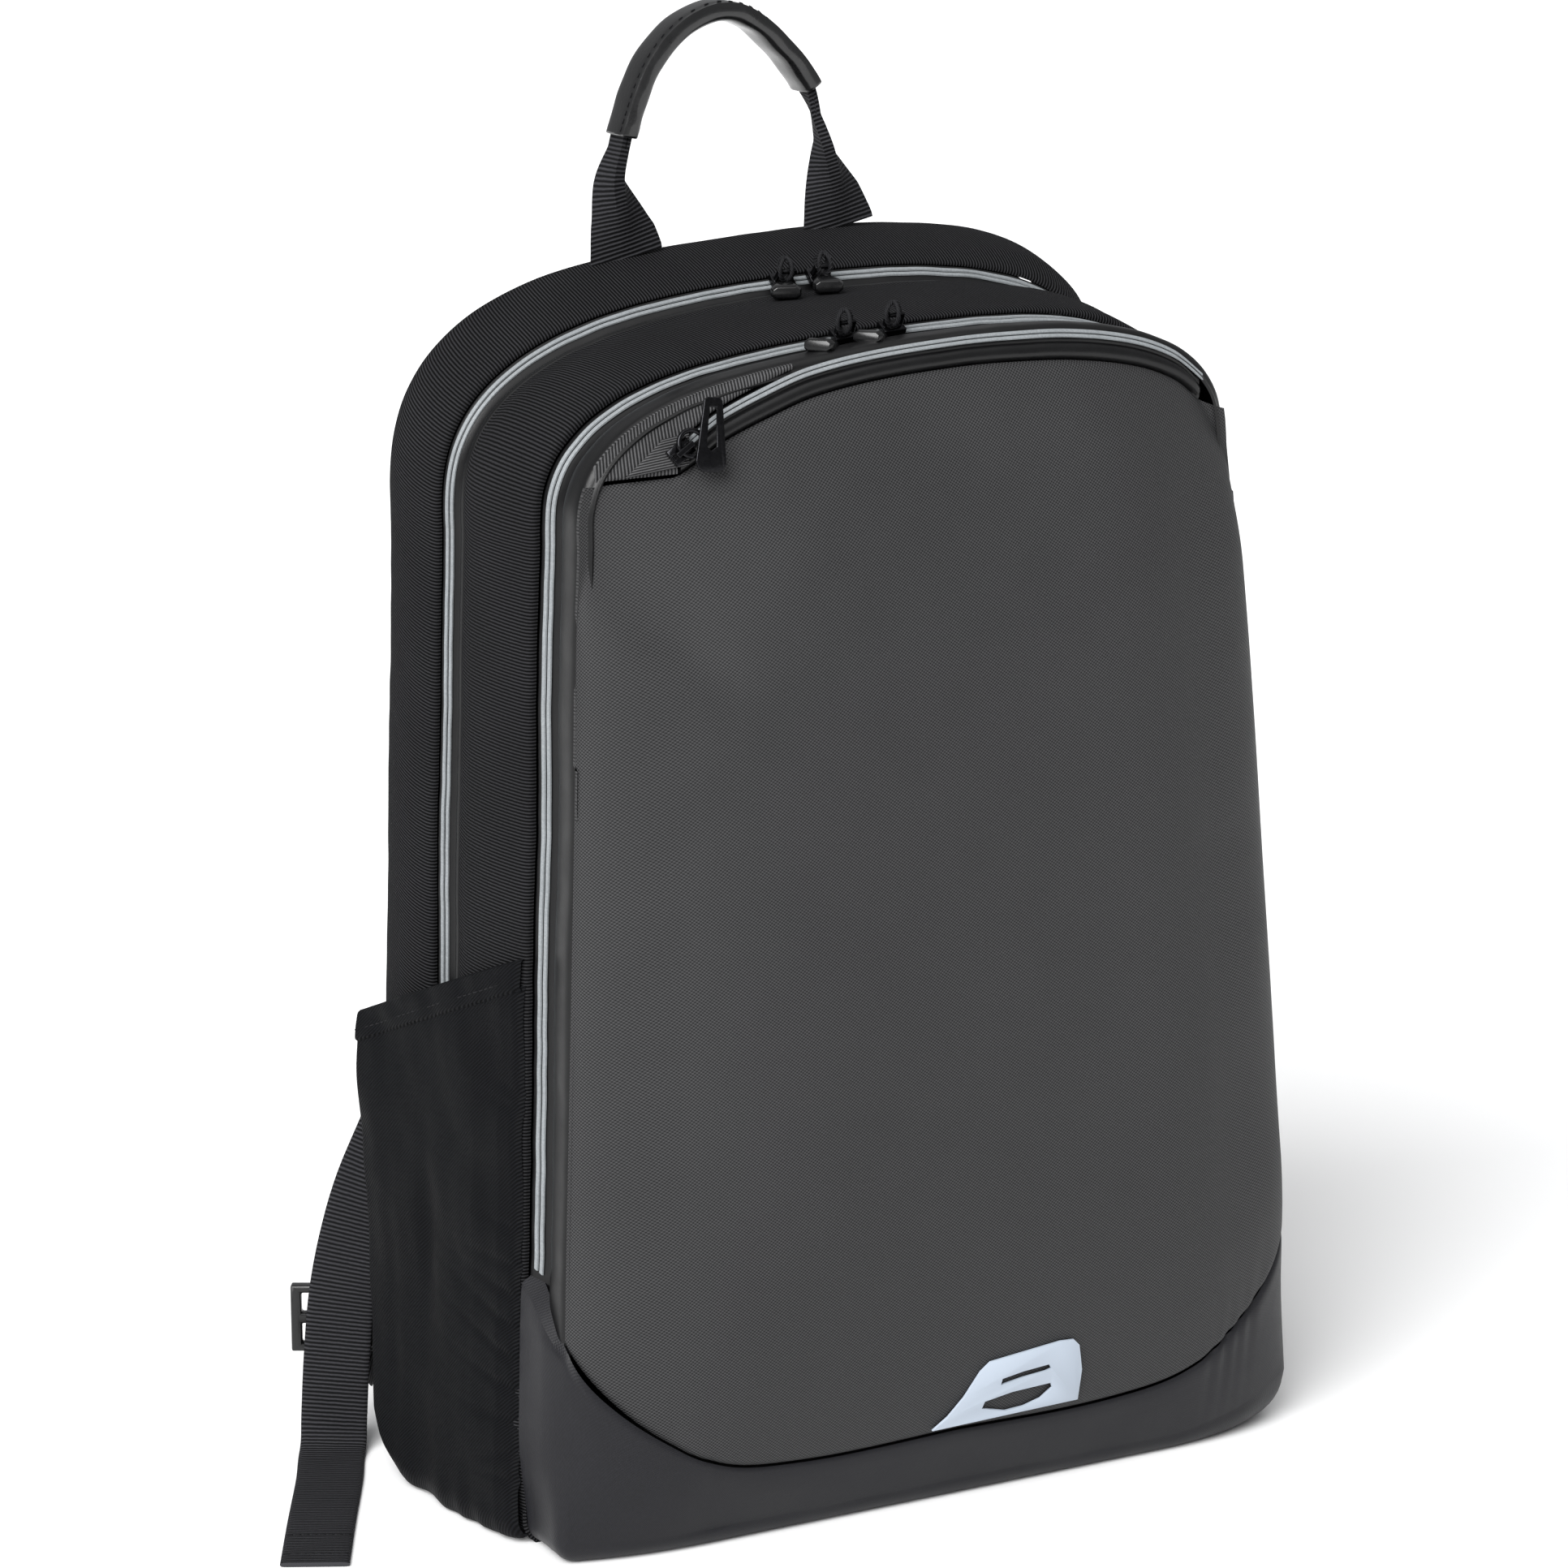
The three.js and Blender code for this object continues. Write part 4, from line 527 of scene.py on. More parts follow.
class Bench:
    """Builds the node tree of one finish."""

    def __init__(self, finish: Finish) -> None:
        """Starts an empty material named for the finish."""
        self.finish = finish
        self.material = bpy.data.materials.new(finish.name)
        self.material.use_nodes = True
        self.tree = self.material.node_tree
        self.tree.nodes.clear()

    def add(self, kind: str, inputs: dict, output: int | str = 0, **settings: object) -> bpy.types.NodeSocket:
        """Adds a node with its settings and links.

        Args:
            kind: the node's type.
            inputs: a value or a socket for each input, by number or name.
            output: which output to hand back.
            settings: the node's own properties.

        Returns:
            The chosen output, or the first input of a node with no outputs.
        """
        node = self.tree.nodes.new(kind)
        for key, value in settings.items():
            setattr(node, key, value)
        for key, value in inputs.items():
            if isinstance(value, bpy.types.NodeSocket):
                self.tree.links.new(value, node.inputs[key])
            else:
                node.inputs[key].default_value = value
        return node.outputs[output] if node.outputs else node.inputs[0]

    def place(self) -> bpy.types.NodeSocket:
        """Where a pattern is measured: millimetres on the cloth map, or in space seen along Y.

        Returns:
            The coordinates.
        """
        turn = math.radians(self.finish.turn)
        if self.finish.coordinates is Coordinates.CLOTH_MAP:
            here = self.add("ShaderNodeUVMap", {}, uv_map=MAP)
            return self.add("ShaderNodeMapping", {"Vector": here, "Rotation": (0.0, 0.0, -turn)})
        here = self.add("ShaderNodeTexCoord", {}, "Object")
        return self.add("ShaderNodeMapping", {"Vector": here, "Rotation": (math.pi / 2.0, 0.0, 0.0),
                                              "Scale": (1.0 / MM, 1.0 / MM, 1.0 / MM)})

    def wave(self, place: bpy.types.NodeSocket, direction: str, pitch: float) -> bpy.types.NodeSocket:
        """Sine bands from 0 to 1, one to each pitch, slightly uneven as thread is.

        Args:
            place: where the pattern is measured.
            direction: the axis that the bands follow each other along.
            pitch: millimetres from band to band.

        Returns:
            The height of the bands.
        """
        # The wave texture turns 20 radians for each unit of its scaled coordinate.
        scale = 2.0 * math.pi / (20.0 * pitch)
        if direction == "DIAGONAL":
            scale *= 2.0
        return self.add("ShaderNodeTexWave", {"Vector": place, "Scale": scale,
                                              "Distortion": self.finish.uneven, "Detail": 1.0,
                                              "Detail Scale": 1.5},
                        "Fac", wave_type="BANDS", bands_direction=direction)

    def relief(self, place: bpy.types.NodeSocket) -> bpy.types.NodeSocket:
        """The height of the finish's pattern.

        Args:
            place: where the pattern is measured.

        Returns:
            The height, from 0 to 1.
        """
        finish = self.finish
        if finish.pattern is Pattern.RIBS:
            return self.wave(place, "Y", finish.pitch[1])
        if finish.pattern is Pattern.TWILL:
            return self.wave(place, "DIAGONAL", finish.pitch[0])
        if finish.pattern in (Pattern.DOTS, Pattern.MESH):
            across = self.wave(place, "X", finish.pitch[0])
            along = self.wave(place, "Y", finish.pitch[1])
            a = self.add("ShaderNodeMath", {0: across, 1: 2.0, 2: -1.0}, operation="MULTIPLY_ADD")
            b = self.add("ShaderNodeMath", {0: along, 1: 2.0, 2: -1.0}, operation="MULTIPLY_ADD")
            both = self.add("ShaderNodeMath", {0: a, 1: b}, operation="MULTIPLY")
            height = self.add("ShaderNodeMath", {0: both, 1: 0.5, 2: 0.5}, operation="MULTIPLY_ADD")
            if finish.pattern is Pattern.DOTS:
                return height
            return self.add("ShaderNodeMapRange", {"Value": height, "From Min": 0.95, "From Max": 0.6})
        if finish.pattern is Pattern.GRAIN:
            return self.add("ShaderNodeTexVoronoi", {"Vector": place, "Scale": 1.0 / finish.pitch[0]},
                            "Distance", feature="SMOOTH_F1")
        return self.add("ShaderNodeTexNoise", {"Vector": place, "Scale": 1.5, "Detail": 2.0}, "Fac")

    def build(self) -> bpy.types.Material:
        """Mixes the colours by the relief, which paints shade into its hollows, and by large soft patches,
        and bumps the shader.

        Returns:
            The finished material.
        """
        finish = self.finish
        place = self.place()
        height = self.relief(place)
        cloud = self.add("ShaderNodeTexNoise", {"Vector": place, "Scale": 1.0 / finish.patch_size,
                                                "Detail": 4.0, "Roughness": 0.6}, "Fac")
        fleck = self.add("ShaderNodeTexNoise", {"Vector": place, "Scale": 0.9, "Detail": 3.0}, "Fac")
        # The low parts of the relief take the dark colour and the raised parts the light one: painted shade
        # in the hollows of the ribs, weave, mesh and grain.
        colour = self.add("ShaderNodeMix", {0: height, 6: linear(finish.dark), 7: linear(finish.light)},
                          2, data_type="RGBA")
        low, high = 1.0 - finish.patchiness, 1.0 + finish.patchiness
        shade = self.add("ShaderNodeMapRange", {"Value": cloud, "From Min": 0.3, "From Max": 0.7,
                                                "To Min": low, "To Max": high})
        speck = self.add("ShaderNodeMapRange", {"Value": fleck, "From Min": 0.3, "From Max": 0.7,
                                                "To Min": low, "To Max": high})
        tone = self.add("ShaderNodeMath", {0: shade, 1: speck}, operation="MULTIPLY")
        tinted = self.add("ShaderNodeVectorMath", {0: colour, "Scale": tone}, operation="SCALE")
        rough = self.add("ShaderNodeMapRange", {"Value": cloud, "From Min": 0.3, "From Max": 0.7,
                                                "To Min": max(0.05, finish.roughness - 0.06),
                                                "To Max": min(1.0, finish.roughness + 0.06)})
        bump = self.add("ShaderNodeBump", {"Strength": 1.0, "Distance": finish.depth * MM,
                                           "Height": height})
        shader = self.add("ShaderNodeBsdfPrincipled", {
            "Base Color": tinted, "Roughness": rough, "Normal": bump, "Metallic": finish.metallic,
            "Specular IOR Level": finish.specular, "Coat Weight": finish.coat})
        self.add("ShaderNodeOutputMaterial", {"Surface": shader})
        return self.material


class Wardrobe:
    """Keeps one material for each finish and dresses the pieces."""

    def __init__(self) -> None:
        """Starts with no materials."""
        self.made: dict[str, bpy.types.Material] = {}

    def material(self, finish: Finish) -> bpy.types.Material:
        """The material of a finish, built the first time it is asked for.

        Args:
            finish: the finish.

        Returns:
            The material, the same one each time.
        """
        if finish.name not in self.made:
            self.made[finish.name] = Bench(finish).build()
        return self.made[finish.name]

    def dress(self, piece: bpy.types.Object, finish: Finish, slot: str, *nodes: str) -> bpy.types.Object:
        """Gives a piece its material and its place on the body, and hides the CAD nodes it stands for.

        Args:
            piece: the piece.
            finish: what it is made of.
            slot: the record's material slot; not used.
            nodes: the CAD nodes that it replaces.

        Returns:
            The piece.
        """
        piece.data.materials.clear()
        piece.data.materials.append(self.material(finish))
        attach(piece, BODY)
        if nodes:
            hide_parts(*nodes)
        log.info("%s: %d faces, %s", piece.name, len(piece.data.polygons), finish.name)
        return piece


# The form that every shell follows


@dataclass
class BagForm:
    """The bag's outlines at each depth, its domed front and how it has settled, in millimetres."""

    mid_height: float = 225.0
    taper: float = 0.096
    foot_radius: float = 9.0
    heel_radius: float = 35.0
    heel_start: float = 40.0
    lean: float = 0.03
    lift: float = 0.057
    settle_height: float = 450.0
    front: float = -57.0
    # Depth, half width, height, height of the arched top and squareness of the arch.
    rims: tuple[tuple[float, ...], ...] = (
        (-57.0, 145.0, 433.0, 57.0, 2.8),
        (-36.0, 143.0, 431.5, 57.0, 2.8),
        (20.0, 145.6, 436.0, 67.0, 2.75),
        (38.0, 146.5, 441.0, 73.0, 2.7),
        (75.0, 150.0, 453.0, 88.0, 3.05),
    )
    # Depth and how far the right top corner is pushed out there.
    corner_push: tuple[tuple[float, float], ...] = (
        (-46.0, 0.0), (-30.0, -3.0), (-15.0, -4.5), (10.0, -2.0), (30.0, 3.0), (50.0, 7.5), (75.0, 6.0),
    )
    corner_share: float = 0.25
    corner_width: float = 0.07
    puff_fade: float = 45.0
    puff_top: float = 0.45
    swell: float = 30.0
    swell_power: float = 2.3
    side_reach: float = 110.0
    right_reach: float = 72.0
    floor_reach: float = 60.0
    top_reach: float = 130.0
    bottom_reach: float = 135.0
    bottom_start: float = -14.0
    shoulder_puff: float = 4.0
    right_puff: float = 8.0
    shoulder_width: float = 39.0
    depths: Array = field(default_factory=lambda: np.linspace(-58.0, 76.0, 135))
    shares: Array = field(default_factory=lambda: np.linspace(0.0, 1.0, 1201))
    heights: Array = field(default_factory=lambda: np.linspace(0.0, 460.0, 921))

    def __post_init__(self) -> None:
        """Works the outlines out once, in even steps of depth and of length."""
        outlines = [self.half_outline(y) for y in self.depths]
        self.table = np.stack([columns for columns, _ in outlines])
        self.lengths = np.array([total for _, total in outlines])
        falls = [np.interp(self.heights, row[::-1, 1], self.shares[::-1]) for row in self.table]
        self.share_table = np.stack(falls)[..., None]

    def rim(self, y: Array | float) -> list[Array]:
        """Half width, height, arch and squareness at a depth, straight between the named rims."""
        table = np.array(self.rims)
        return [np.interp(y, table[:, 0], table[:, k]) for k in range(1, 5)]

    def underside(self, y: Array | float) -> Array:
        """Height of the bag's underside: flat, then a quarter circle up the heel."""
        past = np.clip(np.asarray(y, float) - self.heel_start, 0.0, self.heel_radius)
        return self.heel_radius - np.sqrt(self.heel_radius**2 - past**2)

    def side_width(self, half: Array | float, z: Array | float) -> Array:
        """Half width of the straight side at a height."""
        return half * (1.0 - self.taper * (z - self.mid_height) / self.mid_height)

    def half_outline(self, y: float) -> tuple[Array, float]:
        """The outline from the top centre to the right foot at one depth: a superellipse arch,
        a straight tapered side and a quarter circle under.

        Args:
            y: the depth.

        Returns:
            x, z and the outward direction at even lengths, and the whole length.
        """
        half, height, arch, square = self.rim(y)
        shoulder = height - arch
        width = self.side_width(half, shoulder)
        under = float(self.underside(y))
        turn = np.linspace(math.pi / 2.0, 0.0, 241)
        low = np.linspace(shoulder, under + self.foot_radius, 41)[1:]
        foot = np.linspace(0.0, math.pi / 2.0, 15)[1:]
        foot_x = self.side_width(half, under + self.foot_radius) - self.foot_radius
        x = np.concatenate([width * np.cos(turn) ** (2.0 / square), self.side_width(half, low),
                            foot_x + self.foot_radius * np.cos(foot)])
        z = np.concatenate([shoulder + arch * np.sin(turn) ** (2.0 / square), low,
                            under + self.foot_radius * (1.0 - np.sin(foot))])
        x[0] = 0.0
        run = np.concatenate([[0.0], np.cumsum(np.hypot(np.diff(x), np.diff(z)))])
        places = self.shares * run[-1]
        even_x, even_z = np.interp(places, run, x), np.interp(places, run, z)
        slope = unit(np.stack([np.gradient(even_x), np.gradient(even_z)], -1))
        window = np.ones(9) / 9.0
        padded = np.pad(slope, ((4, 4), (0, 0)), mode="edge")
        even = np.stack([np.convolve(padded[:, k], window, "valid") for k in (0, 1)], -1)
        even = unit(even)
        return np.stack([even_x, even_z, -even[:, 1], even[:, 0]], -1), float(run[-1])

    def look_up(self, table: Array, y: Array, share: Array) -> Array:
        """A table's values between its rows and columns, straight in both directions.

        Args:
            table: depths by even places by values.
            y: depths.
            share: places from 0 to 1.

        Returns:
            The values at each depth and place.
        """
        y, share = np.broadcast_arrays(np.asarray(y, float), np.asarray(share, float))
        row = (y - self.depths[0]) / (self.depths[1] - self.depths[0])
        row = np.clip(row, 0.0, len(self.depths) - 1.001)
        column = np.clip(share, 0.0, 1.0) * (table.shape[1] - 1)
        column = np.minimum(column, table.shape[1] - 1.001)
        i, j = row.astype(int), column.astype(int)
        f, g = (row - i)[..., None], (column - j)[..., None]
        upper = table[i, j] * (1.0 - g) + table[i, j + 1] * g
        lower = table[i + 1, j] * (1.0 - g) + table[i + 1, j + 1] * g
        return upper * (1.0 - f) + lower * f

    def share_at(self, y: Array | float, z: Array | float) -> Array:
        """Share of the half outline at which the side passes a height."""
        return self.look_up(self.share_table, y, np.asarray(z, float) / self.heights[-1])[..., 0]

    def outline(self, y: Array | float, s: Array | float) -> list[Array]:
        """The outline at a depth and a place along it.

        Args:
            y: depths.
            s: shares of the half outline, negative on the left side.

        Returns:
            x, z and the outward direction's x and z.
        """
        found = self.look_up(self.table, y, np.abs(s))
        side = np.where(np.asarray(s) < 0.0, -1.0, 1.0)
        return [side * found[..., 0], found[..., 1], side * found[..., 2], found[..., 3]]

    def wall(self, y: Array | float, s: Array | float, out: Array | float) -> Array:
        """A point on the side walls: the outline, moved out by the puff of the band there.

        Args:
            y: depths.
            s: shares of the half outline, negative on the left side.
            out: how far the band stands out of the outline.

        Returns:
            The points.
        """
        x, z, nx, nz = self.outline(y, s)
        height = z - self.underside(y)
        fade = ramp(0.0, self.puff_fade, height)
        share = np.where(np.asarray(out) > 0.0, blend(self.puff_top, 1.0, ramp(0.1, 0.24, np.abs(s))), 1.0)
        pushes = np.array(self.corner_push)
        corner = bell(np.asarray(s) - self.corner_share, self.corner_width)
        push = out * share * fade + corner * np.interp(y, pushes[:, 0], pushes[:, 1])
        return point(x + nx * push, y, z + nz * push)

    def half_width_at(self, z: Array) -> Array:
        """Half width of the front outline.

        Args:
            z: heights.

        Returns:
            The half width at each height.
        """
        half, height, arch, square = self.rim(self.front)
        shoulder = height - arch
        rise = np.clip((z - shoulder) / arch, 0.0, 1.0)
        return self.side_width(half, np.minimum(z, shoulder)) * (1.0 - rise**square) ** (1.0 / square)

    def top_height_at(self, x: Array) -> Array:
        """Height of the front outline.

        Args:
            x: places across the bag.

        Returns:
            The height above each place.
        """
        half, height, arch, square = self.rim(self.front)
        shoulder = height - arch
        reach = np.clip(np.abs(x) / self.side_width(half, shoulder), 0.0, 1.0)
        return shoulder + arch * (1.0 - reach**square) ** (1.0 / square)

    def swelling(self, distance: Array, reach: Array | float) -> Array:
        """1 minus (1 - distance / reach) to the swell power: steep at the edge, then level."""
        return 1.0 - (1.0 - np.clip(distance / reach, 0.0, 1.0)) ** self.swell_power

    def dome_depth(self, x: Array, z: Array) -> Array:
        """Depth of the domed front: the product of its swellings from the sides, top and floor.

        Args:
            x: places across.
            z: heights.

        Returns:
            The depth (y) there.
        """
        right = blend(self.side_reach, self.right_reach, ramp(0.0, 60.0, x))
        reach = np.where(x < 0.0, self.side_reach, right)
        side = self.swelling(self.half_width_at(z) - np.abs(x),
                             blend(self.floor_reach, reach, ramp(0.0, 120.0, z)))
        top = self.swelling(self.top_height_at(x) - z, self.top_reach)
        bottom = self.swelling(z - self.bottom_start, self.bottom_reach)
        return self.front - self.swell * side * top * bottom

    def dome_normal(self, x: Array, z: Array) -> Array:
        """Outward direction of the domed front, from its slopes over 3 mm.

        Args:
            x: places across.
            z: heights.

        Returns:
            The directions.
        """
        step = 1.5
        across = (self.dome_depth(x + step, z) - self.dome_depth(x - step, z)) / (2.0 * step)
        along = (self.dome_depth(x, z + step) - self.dome_depth(x, z - step)) / (2.0 * step)
        return unit(point(across, -1.0, along))

    def dome(self, x: Array, z: Array, lift: Array | float = 0.0) -> Array:
        """A point on the domed front: its depth there, the shoulders puffed sideways, then lifted.

        Args:
            x: places across.
            z: heights.
            lift: how far off the surface.

        Returns:
            The points.
        """
        x, z, lift = np.broadcast_arrays(*(np.asarray(v, float) for v in (x, z, lift)))
        half, height, arch, _ = self.rim(self.front)
        inset = np.clip((self.half_width_at(z) - np.abs(x)) / self.shoulder_width, 0.0, 1.0)
        above = ramp(0.0, 110.0, z) * ramp(0.0, 66.0, height - arch * 0.6 - z)
        puff = np.where(x < 0.0, self.shoulder_puff, self.right_puff)
        outward = np.sign(x) * puff * 6.75 * inset * (1.0 - inset) ** 2 * above
        found = point(x + outward, self.dome_depth(x, z), z)
        found = found + self.dome_normal(x, z) * lift[..., None]
        found[..., 1] = np.minimum(found[..., 1], self.front - 0.4)
        return found

    def settle(self, points: Array) -> Array:
        """The upright bag settled: its top leans by a share of the height, its right side rises."""
        x, y, z = points[..., 0], points[..., 1], points[..., 2]
        return point(x - self.lean * z, y, z + self.lift * x * z / self.settle_height)


# Bands round the side: gussets and zippers


@dataclass
class SideBands:
    """The ribbed gussets and the two long zippers, all bands along the outline."""

    form: BagForm
    wardrobe: Wardrobe
    columns: int = 420
    cloth: float = 1.6
    tape: float = 1.0
    # Rows of depth and height off the outline across each band, its edges rolled in.
    rear_gusset: tuple = ((74.2, -2.4), (74.6, -1.0), (73.6, 0.6), (71.0, 2.4), (66.0, 4.0), (60.0, 4.8),
                          (53.0, 5.0), (47.0, 4.5), (43.0, 3.7), (41.2, 2.8), (40.5, 1.6), (40.6, 0.2))
    middle_gusset: tuple = ((27.4, -2.8), (27.2, -1.6), (25.8, 0.0), (22.6, 1.6), (17.0, 3.8), (8.0, 6.4),
                            (-3.0, 7.3), (-14.0, 7.0), (-22.0, 6.0), (-26.4, 5.2), (-28.6, 4.2),
                            (-29.5, 2.8), (-29.4, 1.0))
    # The tapes' outermost rows are seam allowances that run in under the neighbours.
    rear_tape: tuple = ((43.0, -1.5), (41.0, -1.4), (39.9, -0.5), (39.2, 0.1), (34.4, -3.4), (32.2, -2.4),
                        (30.2, -1.8), (28.6, -2.4), (27.6, -3.8), (25.6, -4.8))
    main_tape: tuple = ((-27.0, -1.0), (-29.0, -0.9), (-30.3, 0.1), (-30.9, 0.6), (-37.4, -3.2),
                        (-39.0, -2.9), (-41.6, -1.5), (-45.0, -0.7), (-50.0, -0.6), (-54.2, -1.1),
                        (-56.2, -2.6), (-57.2, -4.2), (-59.0, -5.4))
    # Where the two reflective stripes lie on the first slope of a tape.
    stripes: tuple = (("back", 0.2, 0.41), ("front", 0.45, 0.66))
    stripe_slopes: dict = field(default_factory=lambda: {
        "rear": ((40.0, 0.6), (34.4, -3.8)), "main": ((-30.4, 1.0), (-37.6, -3.4))})
    rear_stop: float = 110.0
    # Depth and height of the base panel's seam round the side.
    base_seam: tuple = ((-57.0, 84.0), (-44.0, 96.0), (-30.6, 106.0))
    # How far the main zipper's ends run down behind the base panel.
    tuck: float = 3.0
    # How far above the base panel the main zipper's stripes stop.
    stripe_stop: float = 2.7
    stripe_rows: int = 7
    # Height of a stripe's rim off the tape, and how much more its middle is raised.
    stripe_rim: float = 0.35
    stripe_crown: float = 0.55

    def seam_height(self, y: Array | float) -> Array:
        """Height of the base panel's seam at a depth."""
        table = np.array(self.base_seam)
        return np.interp(y, table[:, 0], table[:, 1])

    def band(self, rows: Array, foot: Array | None = None) -> tuple[Array, Array]:
        """A band's points: each row is carried round the outline from foot to foot.

        Args:
            rows: depth and height off the outline of each row.
            foot: the height at which each row starts and ends; the floor where it isn't given.

        Returns:
            The upright points and a map of millimetres along and across.
        """
        y, out = rows[:, :1], rows[:, 1:]
        end = 1.0 if foot is None else self.form.share_at(y, foot)
        s = np.linspace(-1.0, 1.0, self.columns)[None] * end
        half = float(np.interp(y.mean(), self.form.depths, self.form.lengths))
        across = np.concatenate([[0.0], np.cumsum(np.linalg.norm(np.diff(rows, axis=0), axis=1))])
        uv = np.stack(np.broadcast_arrays(across[:, None], s * half), -1)
        ripple = self.ripple(s * half, y)
        return self.form.wall(y, s, out + ripple), uv

    def ripple(self, along: Array, y: Array) -> Array:
        """Unevenness of sewn cloth: long swells and shorter puckers, each a fraction of a mm."""
        return 0.35 * swells(along, y, 75.0, 3) + 0.12 * swells(along, y * 0.6, 17.0, 4)

    def make_band(self, name: str, rows: tuple, count: int, finish: Finish, slot: str, thickness: float,
                  *nodes: str, foot: bool = False) -> None:
        """Builds one band through its named rows and dresses it.

        Args:
            name: the piece's name.
            rows: depth and height off the outline across the band.
            count: how many rows of points to lay through them.
            finish: what the band is made of.
            slot: the record's material slot.
            thickness: how thick the cloth is.
            nodes: the CAD nodes that the band replaces.
            foot: whether it ends behind the base panel and not at the floor.
        """
        fine = evenly(np.array(rows), count)
        upright, uv = self.band(fine, self.seam_height(fine[:, :1]) - self.tuck if foot else None)
        piece = sheet_piece(name, self.form.settle(upright), thickness, uv)
        self.wardrobe.dress(piece, finish, slot, *nodes)

    def make_stripes(self, zipper: str) -> None:
        """Builds a zipper's two reflective stripes as low rounded strips on the tape's slope.

        Args:
            zipper: rear or main.
        """
        start, end = (np.array(p) for p in self.stripe_slopes[zipper])
        slope = unit((end - start)[None])[0]
        off = np.array([-slope[1], slope[0]])
        off = off if off[1] > 0.0 else -off
        for name, low, high in self.stripes:
            t = np.linspace(low, high, self.stripe_rows)[:, None]
            from_middle = (t - (low + high) / 2.0) / (high - low) * 2.0
            bulge = self.stripe_rim + self.stripe_crown * np.sqrt(np.clip(1.0 - from_middle**4, 0.0, 1.0))
            rows = start + (end - start) * t + off * bulge
            foot = np.full((self.stripe_rows, 1), self.rear_stop)
            if zipper == "main":
                foot = self.seam_height(rows[:, :1]) + self.stripe_stop
            upright, uv = self.band(rows, foot)
            piece = sheet_piece(f"{zipper}_{name}_stripe_film", self.form.settle(upright), 0.5, uv)
            self.wardrobe.dress(piece, REFLECTIVE_FILM, "reflective", f"{zipper}_zipper_{name}_stripe")

    def build(self) -> None:
        """Builds the gussets, tapes and stripes."""
        self.make_band("rear_gusset_cloth", self.rear_gusset, 30, RIBBED_POLYESTER, "ribbed_cloth",
                       self.cloth, "rear_gusset")
        self.make_band("middle_gusset_cloth", self.middle_gusset, 36, RIBBED_POLYESTER, "ribbed_cloth",
                       self.cloth, "middle_gusset")
        self.make_band("rear_zipper_tape_coated", self.rear_tape, 22, COATED_TAPE, "coated_tape",
                       self.tape, "rear_zipper_tape")
        self.make_band("main_zipper_tape_coated", self.main_tape, 34, COATED_TAPE, "coated_tape",
                       self.tape, "main_zipper_tape", foot=True)
        for zipper in ("rear", "main"):
            self.make_stripes(zipper)


# The front


